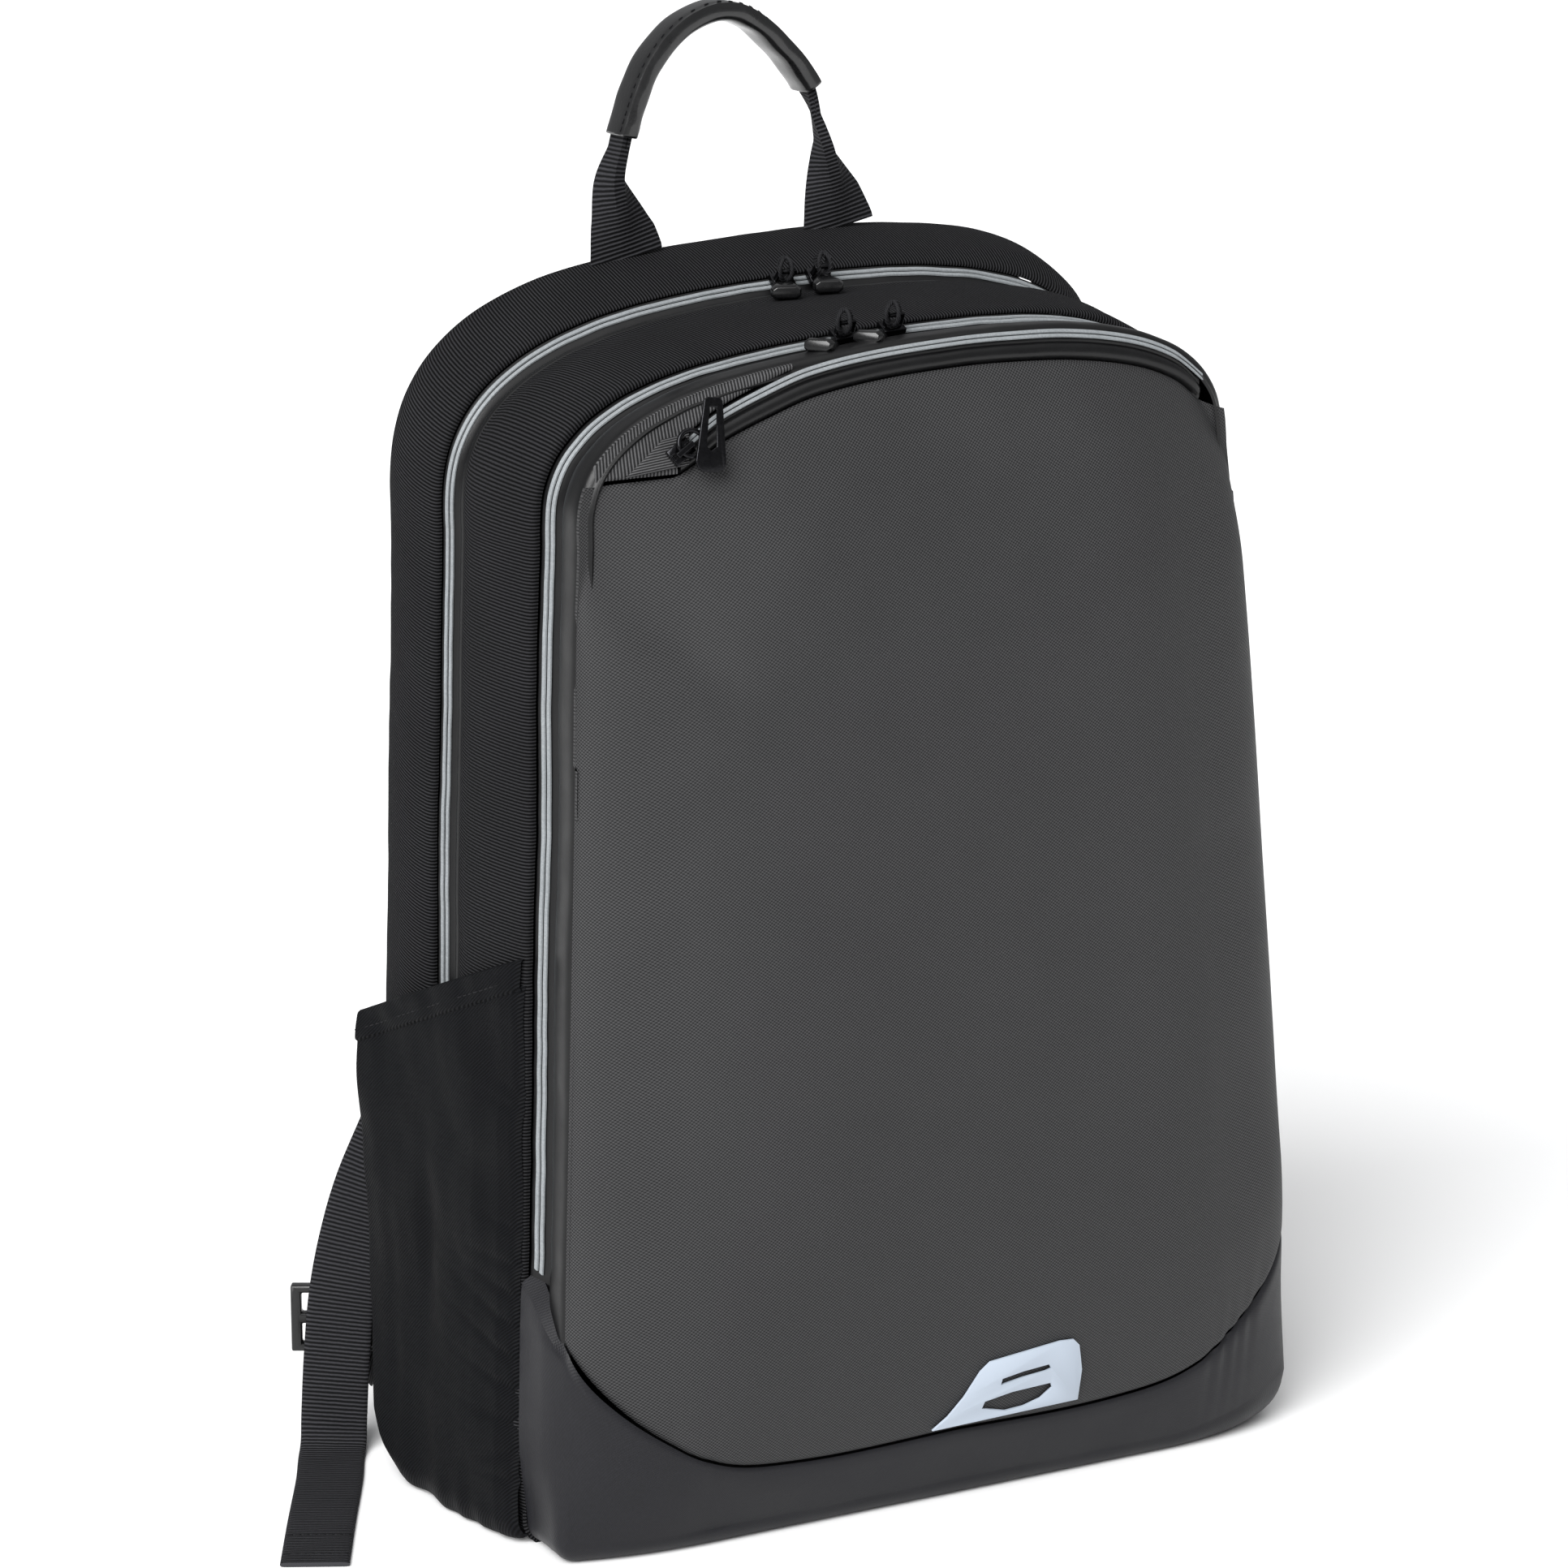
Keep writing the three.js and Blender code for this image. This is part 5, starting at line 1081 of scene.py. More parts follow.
@dataclass
class FrontShell:
    """The domed front panel, the pocket zipper over it, the crescent, and the base below."""

    form: BagForm
    wardrobe: Wardrobe
    bands: SideBands
    cloth: float = 1.6
    seam_gap: float = 0.7
    panel_columns: int = 190
    panel_rows: int = 200
    left_corner: float = 398.0
    right_corner: float = 390.0
    notch_share: float = 0.15
    # Place across, upper edge and lower edge of the pocket zipper.
    zip_rows: tuple = ((-97.0, 408.0, 399.4), (-90.0, 412.4, 403.0), (-80.0, 418.0, 408.5),
                       (-60.0, 424.6, 415.0), (-42.0, 428.8, 419.4), (-16.0, 431.0, 421.8),
                       (18.0, 431.2, 422.0), (40.0, 430.2, 420.8), (66.0, 427.8, 418.0),
                       (93.0, 422.0, 412.0), (111.0, 414.4, 404.4), (123.0, 404.4, 395.5))
    # Place across and height of the seam over the base panel.
    base_seam: tuple = ((0.0, 29.0), (45.0, 28.0), (70.0, 29.0), (90.0, 31.5), (106.0, 37.0),
                        (118.0, 44.0), (130.0, 54.0), (141.0, 67.0), (155.0, 87.0))
    # Depth, height off the outline and rounding under the left and the right corner.
    base_wrap: tuple = ((-30.6, 4.6, 9.0, 11.0), (-38.0, 4.6, 9.0, 15.0), (-48.0, 3.6, 9.0, 19.0),
                        (-57.0, 0.6, 9.0, 21.0))
    # Share of the half width and rounding of the lower front edge, left and right.
    front_turns: tuple = ((0.64, 7.0, 7.0), (0.82, 7.5, 12.0), (0.94, 8.5, 18.0), (1.0, 9.0, 21.0))
    # The floor's last row, at this depth, is drawn up to meet the back panel.
    heel_row: float = 74.0
    heel_rise: float = 13.5
    # Columns of the base panel round each side and over the front, and how many columns the
    # rounding of its two corners reaches.
    side_columns: int = 18
    front_columns: int = 220
    corner_columns: float = 8.0
    smooth_over: int = 7
    # Shares of the pocket zipper's width: where its tape ends behind the panel, and its stripes.
    tape_share: float = 1.16
    tape_rows: int = 26
    zip_columns: int = 240
    zip_stripes: tuple = (("upper", 0.06, 0.2), ("lower", 0.225, 0.365))
    # The soft dent down the upper left of the panel: places across and heights.
    dent: tuple = ((-129.0, 372.0), (-108.0, 347.0), (-86.0, 322.0))
    dent_depth: float = 2.4
    dent_width: float = 10.0
    # The panel's upper right corner is drawn in under the zipper's end.
    corner_sink: float = 3.2
    corner_reach: float = 15.0
    # Puckers of the base seam on the right: place across, depth and width of each.
    puckers: tuple = ((112.0, 0.9, 2.6), (119.0, 1.4, 2.4), (125.0, 1.2, 2.2), (131.5, 1.1, 2.6),
                      (-118.0, 0.5, 3.0), (-104.0, 0.4, 3.0))

    def base_seam_height(self, x: Array) -> Array:
        """Height of the base seam at a place across, the same on both sides."""
        table = np.array(self.base_seam)
        return through(table, table[:, 0], np.abs(np.atleast_1d(x)).ravel())[:, 1].reshape(np.shape(x))

    def zip_edge(self, x: Array, column: int) -> Array:
        """Height of the pocket zipper's upper (1) or lower (2) edge at a place across."""
        table = np.array(self.zip_rows)
        return through(table, table[:, 0], np.ravel(x))[:, column].reshape(np.shape(x))

    def seam(self, s: Array) -> Array:
        """Place across and height of the panel's side seam at shares of the outline."""
        return self.form.wall(self.form.front, s, -1.0)[..., [0, 2]]

    def panel_grid(self) -> Array:
        """Places across and heights over the panel: a patch blended between its four edges.

        Returns:
            Rows by columns of (x, z).
        """
        form, front = self.form, self.form.front
        start = form.share_at(front, self.bands.seam_height(front) + self.seam_gap)
        left = self.seam(-np.linspace(start, form.share_at(front, self.left_corner), self.panel_rows))
        right = self.seam(np.linspace(start, form.share_at(front, self.right_corner), self.panel_rows))
        share = np.linspace(-1.0, 1.0, self.panel_columns)
        half = form.rim(front)[0]
        height = self.base_seam_height(share * form.side_width(half, 60.0))
        bottom = np.stack([share * form.side_width(half, height), height + self.seam_gap], -1)
        bottom[0], bottom[-1] = left[0], right[0]
        x = np.linspace(self.zip_rows[0][0], self.zip_rows[-1][0], 120)
        notch = np.array([[self.zip_rows[0][0] - 2.6, self.left_corner]])
        under = np.stack([x, self.zip_edge(x, 2) - self.seam_gap], -1)
        first = round(self.panel_columns * self.notch_share)
        over = spread(np.concatenate([notch, under, right[-1:]]), self.panel_columns - first + 1)
        top = np.concatenate([spread(np.concatenate([left[-1:], notch]), first)[:-1], over])
        u = np.linspace(0.0, 1.0, self.panel_columns)[None, :, None]
        v = np.linspace(0.0, 1.0, self.panel_rows)[:, None, None]
        edges = blend(bottom[None], top[None], v) + blend(left[:, None], right[:, None], u)
        corners = blend(blend(bottom[0], bottom[-1], u), blend(top[0], top[-1], u), v)
        return edges - corners

    def dented(self, x: Array, z: Array) -> Array:
        """How far the panel is pressed in: a bell across the dent's line, fading at its ends.

        Args:
            x: places across.
            z: heights.

        Returns:
            The depth of the dent, below 0 where the cloth beside it is raised.
        """
        line = np.array(self.dent)
        start, end = line[0], line[-1]
        along = unit((end - start)[None])[0]
        run = np.linalg.norm(end - start)
        t = ((x - start[0]) * along[0] + (z - start[1]) * along[1]) / run
        off = (x - start[0]) * -along[1] + (z - start[1]) * along[0]
        press = self.dent_depth * bell(off, self.dent_width) * bell(t - 0.5, 0.55)
        lift = 0.5 * self.dent_depth * bell(off + 2.2 * self.dent_width, 1.4 * self.dent_width)
        return press - lift * bell(t - 0.5, 0.55)

    def puckered(self, x: Array, below: Array, reach: float) -> Array:
        """Folds that run away from the base seam: a bell across each, fading with distance.

        Args:
            x: places across.
            below: distances from the seam.
            reach: the distance at which a fold has faded to about a third.

        Returns:
            The depth of the folds.
        """
        fold = np.zeros(np.broadcast(x, below).shape)
        for place, depth, width in self.puckers:
            fold += depth * bell(x - place, width)
        return fold * np.exp(-np.abs(below) / reach)

    def build_panel(self) -> None:
        """Builds the front panel: the dome over its patch, edges rolled into the seams."""
        flat = self.panel_grid()
        x, z = flat[..., 0], flat[..., 1]
        upright = self.form.dome(x, z)
        left, right, low, high = edge_distances(upright)
        uneven = 0.55 * swells(x, z, 95.0, 11) + 0.12 * swells(x, z, 28.0, 12)
        fade = ramp(0.0, 30.0, np.minimum(np.minimum(left, right), np.minimum(low, high)))
        beside = rolled(np.minimum(left, right), 4.5, 2.0)
        edge = np.maximum(beside, np.maximum(rolled(low, 4.0, 1.6), rolled(high, 3.5, 1.4)))
        edge = edge + self.corner_sink * bell(np.hypot(right, high), self.corner_reach)
        sink = edge + self.dented(x, z) + self.puckered(x, low, 9.0) * 0.8 - uneven * fade
        upright = self.form.dome(x, z, -sink)
        uv = np.stack([x, z], -1)
        piece = sheet_piece("front_panel_coated", self.form.settle(upright), self.cloth, uv)
        self.wardrobe.dress(piece, COATED_POLYESTER, "coated_cloth", "front_panel")

    def zip_strip(self, low: float, high: float, rows: int, lift: Array | float) -> Array:
        """Points over a share of the pocket zipper's width, from its upper edge down.

        Args:
            low: share of the width at which the strip starts.
            high: share at which it ends.
            rows: rows of points.
            lift: how far the strip stands off the dome.

        Returns:
            The settled points.
        """
        x = np.linspace(self.zip_rows[0][0], self.zip_rows[-1][0], self.zip_columns)[None]
        t = np.linspace(low, high, rows)[:, None]
        z = blend(self.zip_edge(x, 1), self.zip_edge(x, 2), t)
        return self.form.settle(self.form.dome(x, z, lift))

    def build_zip(self) -> None:
        """Builds the pocket zipper: a tape with a puffed lower half and two rounded stripes."""
        t = np.linspace(0.0, self.tape_share, self.tape_rows)[:, None]
        x = np.linspace(self.zip_rows[0][0], self.zip_rows[-1][0], self.zip_columns)[None]
        puff = 1.2 * np.sin(math.pi * np.clip((t - 0.5) / 0.5, 0.0, 1.0)) ** 0.7
        groove = 0.5 * bell(t - 0.48, 0.05)
        edge = np.clip(np.minimum(t, 1.0 - t), 0.0, 1.0) * 9.4
        lift = puff - groove + 0.12 * swells(x, t * 9.0, 16.0, 21) - rolled(edge, 1.2, 0.9)
        # The lower edge runs in under the panel, and the right end under the main zipper.
        lift = lift - 2.2 * ramp(0.98, 1.1, t)
        lift = lift - rolled(x[0, -1] - x, 9.0, 2.6)
        strip = self.zip_strip(0.0, self.tape_share, self.tape_rows, lift)
        tape = sheet_piece("pocket_zipper_tape_coated", strip, 1.0)
        self.wardrobe.dress(tape, COATED_TAPE, "coated_tape", "pocket_zipper_tape")
        for name, low, high in self.zip_stripes:
            bulge = 0.4 + 0.6 * np.sqrt(1.0 - np.linspace(-0.98, 0.98, 7)[:, None] ** 4)
            stripe = sheet_piece(f"pocket_{name}_stripe_film", self.zip_strip(low, high, 7, bulge), 0.5)
            self.wardrobe.dress(stripe, REFLECTIVE_FILM, "reflective", f"pocket_zipper_{name}_stripe")

    def build_crescent(self) -> None:
        """Builds the ribbed crescent between the main zipper and the pocket zipper."""
        x = np.linspace(-127.0, -48.0, 110)[None]
        upper = self.form.top_height_at(x) - 1.6
        start = self.zip_rows[0][0]
        over = self.zip_edge(np.maximum(x, start), 1) + self.seam_gap
        lower = np.where(x < start - 1.0, self.left_corner + 1.1, over)
        lower = np.minimum(lower, upper - 0.6)
        v = np.linspace(0.0, 1.0, 22)[:, None]
        z = blend(upper, lower, v)
        span = upper - lower
        sink = rolled(np.minimum(v, 1.0 - v) * span, 2.5, 1.1)
        upright = self.form.dome(x, z, 0.4 - sink)
        uv = np.stack(np.broadcast_arrays(z, x), -1)
        piece = sheet_piece("front_top_gusset_cloth", self.form.settle(upright), 1.3, uv)
        # The crescent takes the paler copy of the ribbed cloth: painted light where it faces up.
        self.wardrobe.dress(piece, PAINTED_LIT_RIBBED_POLYESTER, "ribbed_cloth", "front_top_gusset")

    def build_end_tab(self) -> None:
        """Builds the folded tab over the zipper's left end: a bilinear patch lifted off the dome."""
        low = np.array([[-117.0, 399.4], [-94.0, 401.4]])
        high = np.array([[-102.0, 411.0], [-92.0, 412.0]])
        u = np.linspace(0.0, 1.0, 30)[None, :, None]
        v = np.linspace(0.0, 1.0, 24)[:, None, None]
        flat = blend(blend(low[0], low[1], u), blend(high[0], high[1], u), v)
        gap = np.minimum(np.minimum(u, 1.0 - u)[..., 0] * 18.0, np.minimum(v, 1.0 - v)[..., 0] * 11.0)
        upright = self.form.dome(flat[..., 0], flat[..., 1], 2.6 - rolled(gap, 1.6, 0.9))
        piece = sheet_piece("zipper_end_tab_cloth", self.form.settle(upright), 1.0)
        # The end tab takes the same paler copy of the ribbed cloth: painted light.
        self.wardrobe.dress(piece, PAINTED_LIT_RIBBED_POLYESTER, "ribbed_cloth", "zipper_end_tab")

    def base_columns(self) -> dict[str, Array]:
        """The base panel's columns: round the left corner, over the front and round the right.

        Returns:
            For each column its side, share across, depth, wrap, seam height, turn and direction.
        """
        wrap = np.array(self.base_wrap)[::-1]
        turns = np.array(self.front_turns)
        half = self.form.rim(self.form.front)[0]
        width = self.form.side_width(half, 60.0)
        depth = np.linspace(-30.6, -56.6, self.side_columns)
        share = np.linspace(-1.0, 1.0, self.front_columns)
        share = np.sign(share) * (1.0 - (1.0 - np.abs(share)) ** 1.15) * 0.992
        ones = np.ones(len(depth))
        side = np.concatenate([-ones, np.sign(share), ones])
        place = np.concatenate([ones, np.abs(share), ones])
        y = np.concatenate([depth, np.full(len(share), -57.0), depth[::-1]])
        on_front = np.concatenate([ones * 0.0, np.ones(len(share)), ones * 0.0])
        seam = np.where(on_front > 0.5, self.base_seam_height(place * width), self.bands.seam_height(y))
        left = np.where(on_front > 0.5, np.interp(place, turns[:, 0], turns[:, 1]),
                        np.interp(y, wrap[:, 0], wrap[:, 2]))
        right = np.where(on_front > 0.5, np.interp(place, turns[:, 0], turns[:, 2]),
                         np.interp(y, wrap[:, 0], wrap[:, 3]))
        corner = ramp(-50.0, -57.0, y)
        lean = place**6
        out_x = np.where(on_front > 0.5, lean * 0.9, blend(1.0, 0.8, corner)) * side
        out_y = np.where(on_front > 0.5, -1.0 + 0.5 * lean, blend(0.0, -0.6, corner))
        out = unit(np.stack([out_x, out_y, np.zeros(len(y))], -1))
        return {"side": side, "share": place, "y": y, "front": on_front, "seam": seam,
                "turn": np.where(side < 0.0, left, right), "out": out,
                "wrap": np.interp(y, wrap[:, 0], wrap[:, 1])}

    def base_at(self, columns: dict[str, Array], z: Array) -> Array:
        """Points of the base panel's columns: on the dome, or on the outline's side.

        Args:
            columns: what base_columns gives.
            z: heights for the columns.

        Returns:
            Rows by columns of points.
        """
        form = self.form
        half_front = form.rim(form.front)[0]
        x = columns["share"] * form.side_width(half_front, z)
        front = form.dome(x, z)
        front[..., 0] *= columns["side"]
        half = form.rim(columns["y"])[0]
        reach = form.side_width(half, z) + columns["wrap"] * ramp(0.0, form.puff_fade, z)
        beside = point(columns["side"] * reach, columns["y"], z)
        return np.where(columns["front"][..., None] > 0.5, front, beside)

    def base_grid(self) -> Array:
        """The base panel's upright points: down from the seam, then a quarter circle under.

        Returns:
            Rows by columns of points.
        """
        columns = self.base_columns()
        turn, out = columns["turn"], columns["out"]
        v = np.linspace(1.0, 0.0, 30)[:, None] ** 1.2
        z = blend(turn, columns["seam"], v)
        fall = self.base_at(columns, z)
        below = columns["seam"] - z
        x = fall[..., 0]
        uneven = 0.4 * swells(x, z, 45.0, 31) * ramp(0.0, 12.0, below)
        tucked = np.where(columns["front"] > 0.5, 1.5, columns["wrap"] + 2.2)
        sink = rolled(below, 6.0, tucked) + self.puckered(x, below, 13.0) - uneven
        fall = fall - out[None] * sink[..., None]
        angle = np.linspace(0.0, math.pi / 2.0, 12)[1:, None]
        foot = self.base_at(columns, turn[None])
        inset = turn * (1.0 - np.cos(angle))
        under = foot - out[None] * inset[..., None]
        under[..., 2] = turn * (1.0 - np.sin(angle)) + 0.05
        return np.concatenate([fall, under])

    def build_base(self) -> None:
        """Builds the base panel and the floor of the bag behind it."""
        grid = self.base_grid()
        # A smoothing along the row rounds the two corners where the front meets the sides.
        columns, margin = grid.shape[1], self.smooth_over // 2
        padded = np.pad(grid, ((0, 0), (margin, margin), (0, 0)), mode="edge")
        smooth = sum(padded[:, k:k + columns] for k in range(self.smooth_over)) / self.smooth_over
        first, last = self.side_columns, self.side_columns + self.front_columns - 1
        from_corner = np.minimum(np.abs(np.arange(columns) - first), np.abs(np.arange(columns) - last))
        grid = blend(grid, smooth, bell(from_corner, self.corner_columns)[None, :, None])
        piece = sheet_piece("base_panel_coated", self.form.settle(grid), self.cloth)
        self.wardrobe.dress(piece, COATED_OXFORD, "smooth_coated_cloth", "base_panel")
        floor = cad_copy("bottom_panel", "bottom_panel_coated")
        at = mesh_points(floor.data)
        heel = ramp(self.heel_row - 1.5, self.heel_row, at[:, 1])
        at[:, 2] += self.heel_rise * heel
        put_points(floor.data, at)
        floor.data.shade_smooth()
        floor.data.set_sharp_from_angle(angle=math.radians(50.0))
        self.wardrobe.dress(floor, FLOOR_OXFORD, "smooth_coated_cloth", "bottom_panel")

    def build(self) -> None:
        """Builds every piece of the front."""
        self.build_panel()
        self.build_zip()
        self.build_crescent()
        self.build_end_tab()
        self.build_base()


# Side pockets


@dataclass
class SidePockets:
    """Flat twill pockets that stand off the sides, with a folded elastic hem."""

    form: BagForm
    wardrobe: Wardrobe
    hem_at_centre: float = 211.0
    hem_slope: float = -0.41
    hem_height: float = 10.0
    hem_overlap: float = 2.0
    cloth: float = 1.4
    bottom: float = 4.0
    # Depth, and how far the pocket stands off the outline at its top and at its bottom.
    columns: tuple = ((-29.4, 6.4, 6.0), (-20.0, 8.8, 8.6), (-5.0, 10.8, 9.6), (12.0, 12.0, 9.2),
                      (30.0, 13.0, 8.4), (48.0, 13.8, 8.0), (62.0, 14.4, 7.0), (70.0, 14.4, 6.4),
                      (73.6, 11.0, 4.8))
    # Creases that run back from the front seam: height, depth, and reach.
    creases: tuple = ((172.0, 0.9, 10.0), (166.0, 0.8, 12.0), (120.0, 0.9, 12.0), (107.0, 1.2, 15.0),
                      (95.0, 1.3, 17.0), (83.0, 1.4, 18.0), (71.0, 1.5, 20.0), (59.0, 1.5, 20.0),
                      (47.0, 1.4, 18.0), (36.0, 1.3, 16.0), (25.0, 1.1, 14.0))
    stitch_pitch: float = 3.2
    # How far the stitches lie under the hem's edge.
    stitch_drop: float = 7.6
    # Depth of the pocket's front and back seams.
    front_seam: float = -29.4
    back_seam: float = 73.6

    def hem(self, y: Array) -> Array:
        """Height of the pocket's top edge at a depth."""
        return self.hem_at_centre + self.hem_slope * y

    def stand_off(self, y: Array, z: Array) -> Array:
        """How far the pocket stands off the outline, with its folds, creases and gathers.

        Args:
            y: depths.
            z: heights.

        Returns:
            The distance off the outline.
        """
        table = np.array(self.columns)
        low = np.interp(y, table[:, 0], table[:, 2])
        high = np.interp(y, table[:, 0], table[:, 1])
        out = blend(low, high, ramp(0.0, 1.0, (z - 30.0) / (self.hem(y) - 30.0)))
        fold = 1.8 * bell(y - 28.0, 6.0) * bell(z - 105.0, 40.0)
        fold += 0.9 * bell(y - 52.0, 5.0) * bell(z - 70.0, 35.0)
        from_seam = y - self.front_seam
        crease = np.zeros(out.shape)
        for height, depth, reach in self.creases:
            line = z - height - 0.35 * from_seam * math.sin(height)
            crease += depth * bell(line, 2.1) * np.exp(-from_seam / reach)
        above = z - self.form.underside(y) - self.bottom
        gather = 0.35 * np.sin(2.0 * math.pi * (y + 4.0 * np.sin(y / 11.0)) / 19.0) * ramp(30.0, 2.0, above)
        rough = 0.7 * swells(y, z, 42.0, 41) + 0.15 * swells(y, z * 0.6, 14.0, 43)
        return out - fold - crease + gather * ramp(0.0, 14.0, from_seam) + rough

    def grid(self, side: float, y: Array, z: Array, lift: Array | float) -> Array:
        """Upright pocket points: the outline at that depth and height, moved off it.

        Args:
            side: -1 for the left pocket, 1 for the right one.
            y: depths.
            z: heights.
            lift: how far off the pocket's own face.

        Returns:
            The points.
        """
        s = side * self.form.share_at(y, z)
        x, height, nx, nz = self.form.outline(y, s)
        off = self.stand_off(y, z) + lift
        return point(x + nx * off, y, np.maximum(height + nz * off, 0.4))

    def build_side(self, name: str, side: float) -> None:
        """Builds one pocket with its hem and stitches.

        Args:
            name: left or right.
            side: -1 or 1.
        """
        y = np.linspace(self.front_seam, self.back_seam, 110)[None]
        join = self.hem(y) - self.hem_height
        low = self.form.underside(y) + self.bottom
        v = np.linspace(0.0, 1.0, 170)[:, None]
        z = blend(join, low, v)
        seam = np.minimum(y - self.front_seam, self.back_seam - y)
        sink = rolled(seam, 4.0, 2.4) + rolled(z - low, 6.0, 2.4) + rolled(join - z, 2.0, 0.5)
        wall = self.form.settle(self.grid(side, y, z, -sink))
        uv = np.stack(np.broadcast_arrays(y, z), -1)
        pocket = sheet_piece(f"{name}_pocket_twill", wall, self.cloth, uv)
        self.wardrobe.dress(pocket, POCKET_TWILL, "pocket_cloth", f"{name}_side_pocket")
        v = np.linspace(0.0, 1.0, 16)[:, None]
        z = blend(self.hem(y), join - self.hem_overlap, v)
        gap = np.minimum(v, 1.0 - v) * (self.hem_height + self.hem_overlap)
        lift = 1.0 + 0.25 * swells(y, z, 12.0, 42) - rolled(gap, 1.6, 1.1) - rolled(seam, 3.0, 1.5)
        band = self.form.settle(self.grid(side, y, z, lift))
        uv = np.stack(np.broadcast_arrays(z, y), -1)
        hem = sheet_piece(f"{name}_pocket_hem_fold", band, 2.2, uv)
        self.wardrobe.dress(hem, POCKET_TWILL, "pocket_cloth", f"{name}_pocket_hem")
        self.build_stitches(name, side)

    def build_stitches(self, name: str, side: float) -> None:
        """Sews a row of stitches along the lower edge of the hem.

        Args:
            name: left or right.
            side: -1 or 1.
        """
        y = np.arange(-26.0, 72.0, self.stitch_pitch)
        at = self.form.settle(self.grid(side, y, self.hem(y) - self.stitch_drop, 0.9))
        ahead = self.form.settle(self.grid(side, y + 0.5, self.hem(y + 0.5) - self.stitch_drop, 0.9))
        up = np.broadcast_to([side, 0.0, 0.0], at.shape)
        stitches = many_beads(f"{name}_pocket_stitches", at, ahead - at, up, (2.4, 0.55, 0.5))
        self.wardrobe.dress(stitches, BLACK_THREAD, "pocket_cloth")

    def build(self) -> None:
        """Builds both pockets."""
        for name, side in SIDES:
            self.build_side(name, side)


# Carry handle


@dataclass
class CarryHandle:
    """Webbing folded in half along its length, run through a leatherette grip."""

    form: BagForm
    wardrobe: Wardrobe
    y: float = 69.0
    grip_from: float = 0.27
    grip_to: float = 0.735
    grip_wall: float = 0.9
    grip_depth: float = 7.1
    grip_lay: float = 3.0
    # Share of the length, x, z, turn in degrees, width and thickness.
    path: tuple = (
        (0.0, -44.0, 454.6, 0.0, 30.0, 2.0), (0.08, -46.0, 466.0, 0.0, 30.0, 2.0),
        (0.16, -48.0, 480.0, 0.0, 27.0, 1.9), (0.24, -45.5, 492.0, 0.0, 22.0, 1.6),
        (0.32, -41.0, 505.0, 0.0, 22.0, 1.6), (0.4, -33.0, 521.0, 0.0, 22.0, 1.6),
        (0.47, -20.0, 533.0, 0.0, 22.0, 1.6), (0.52, -5.0, 537.5, 0.0, 22.0, 1.6),
        (0.58, 9.0, 533.0, 0.0, 22.0, 1.6), (0.65, 22.0, 521.0, 0.0, 22.0, 1.6),
        (0.72, 32.0, 508.0, 0.0, 22.0, 1.6), (0.8, 37.5, 495.0, -26.0, 22.0, 1.6),
        (0.88, 41.0, 482.0, -12.0, 26.0, 1.9), (0.95, 44.0, 467.0, 0.0, 30.0, 2.0),
        (1.0, 46.0, 454.8, 0.0, 30.0, 2.0),
    )
    # The fold opens toward the left foot before one share, toward the right foot after another.
    left_open: float = 0.24
    right_open: float = 0.87
    # How deep the feet are sewn in, and the share of the length over which they sink.
    sewn_in: float = 3.5
    foot_share: float = 0.04
    # Which point of each ring of the grip the stitches run over.
    stitch_point: int = 14

    def at(self, share: Array) -> dict[str, Array]:
        """The handle at shares of its length: its middle, directions and folded section.

        Args:
            share: places from 0 to 1.

        Returns:
            The origin, the outward direction, turn, width and thickness at each place.
        """
        table = np.array(self.path)
        centre = through(table, table[:, 0], share)[:, 1:3]
        before = through(table, table[:, 0], np.maximum(share - 0.012, 0.0))[:, 1:3]
        after = through(table, table[:, 0], np.minimum(share + 0.012, 1.0))[:, 1:3]
        along = unit(after - before)
        turn, width, thick = (np.interp(share, table[:, 0], table[:, k]) for k in (3, 4, 5))
        return {"origin": point(centre[:, 0], self.y, centre[:, 1]),
                "outward": point(-along[:, 1], 0.0, along[:, 0]),
                "turn": np.radians(turn), "width": width, "thick": thick}

    def webbing(self) -> Array:
        """Rings of the folded strip: two halves that swing together like a closing book.

        Returns:
            Rings by points round each ring.
        """
        share = np.linspace(0.0, 1.0, 150)
        here = self.at(share)
        cosine, sine = np.cos(here["turn"])[:, None], np.sin(here["turn"])[:, None]
        across = unit(here["outward"] * cosine + DEPTHWISE * sine)
        facing = unit(-here["outward"] * sine + DEPTHWISE * cosine)
        half, lay = here["width"][:, None] / 2.0, here["thick"][:, None] / 2.0
        open_left = 1.0 - np.clip(share / self.left_open, 0.0, 1.0)
        open_right = np.clip((share - self.right_open) / (1.0 - self.right_open), 0.0, 1.0)
        fold = np.arccos(np.maximum(open_left, open_right))[:, None]
        from_foot = np.maximum(1.0 - share / self.foot_share, (share - 0.96) / self.foot_share)
        here["origin"][:, 2] -= self.sewn_in * from_foot.clip(0.0)
        # Places from the middle to one edge of the strip, and how thick it still is at each.
        reach = np.array([0.05, 0.12, 0.3, 0.55, 0.8, 0.985, 1.0])
        full = np.array([1.0, 1.0, 1.0, 1.0, 1.0, 0.9, 0.4])
        step = np.concatenate([-reach[::-1], reach])
        thin = np.concatenate([full[::-1], full])
        rings = []
        for face in (-1.0, 1.0):
            w = step * half
            sign = np.sign(w)
            a = w * np.cos(fold) - sign * np.sin(fold) * face * lay * thin
            a = a + np.sin(fold) * (lay + 0.15) * sign
            b = (np.abs(w) - half / 2.0) * (1.0 - np.cos(fold)) + np.cos(fold) * face * lay * thin
            rows = here["origin"][:, None] + across[:, None] * a[..., None] + facing[:, None] * b[..., None]
            rings.append(rows if face < 0.0 else rows[:, ::-1])
        return np.concatenate(rings, 1)

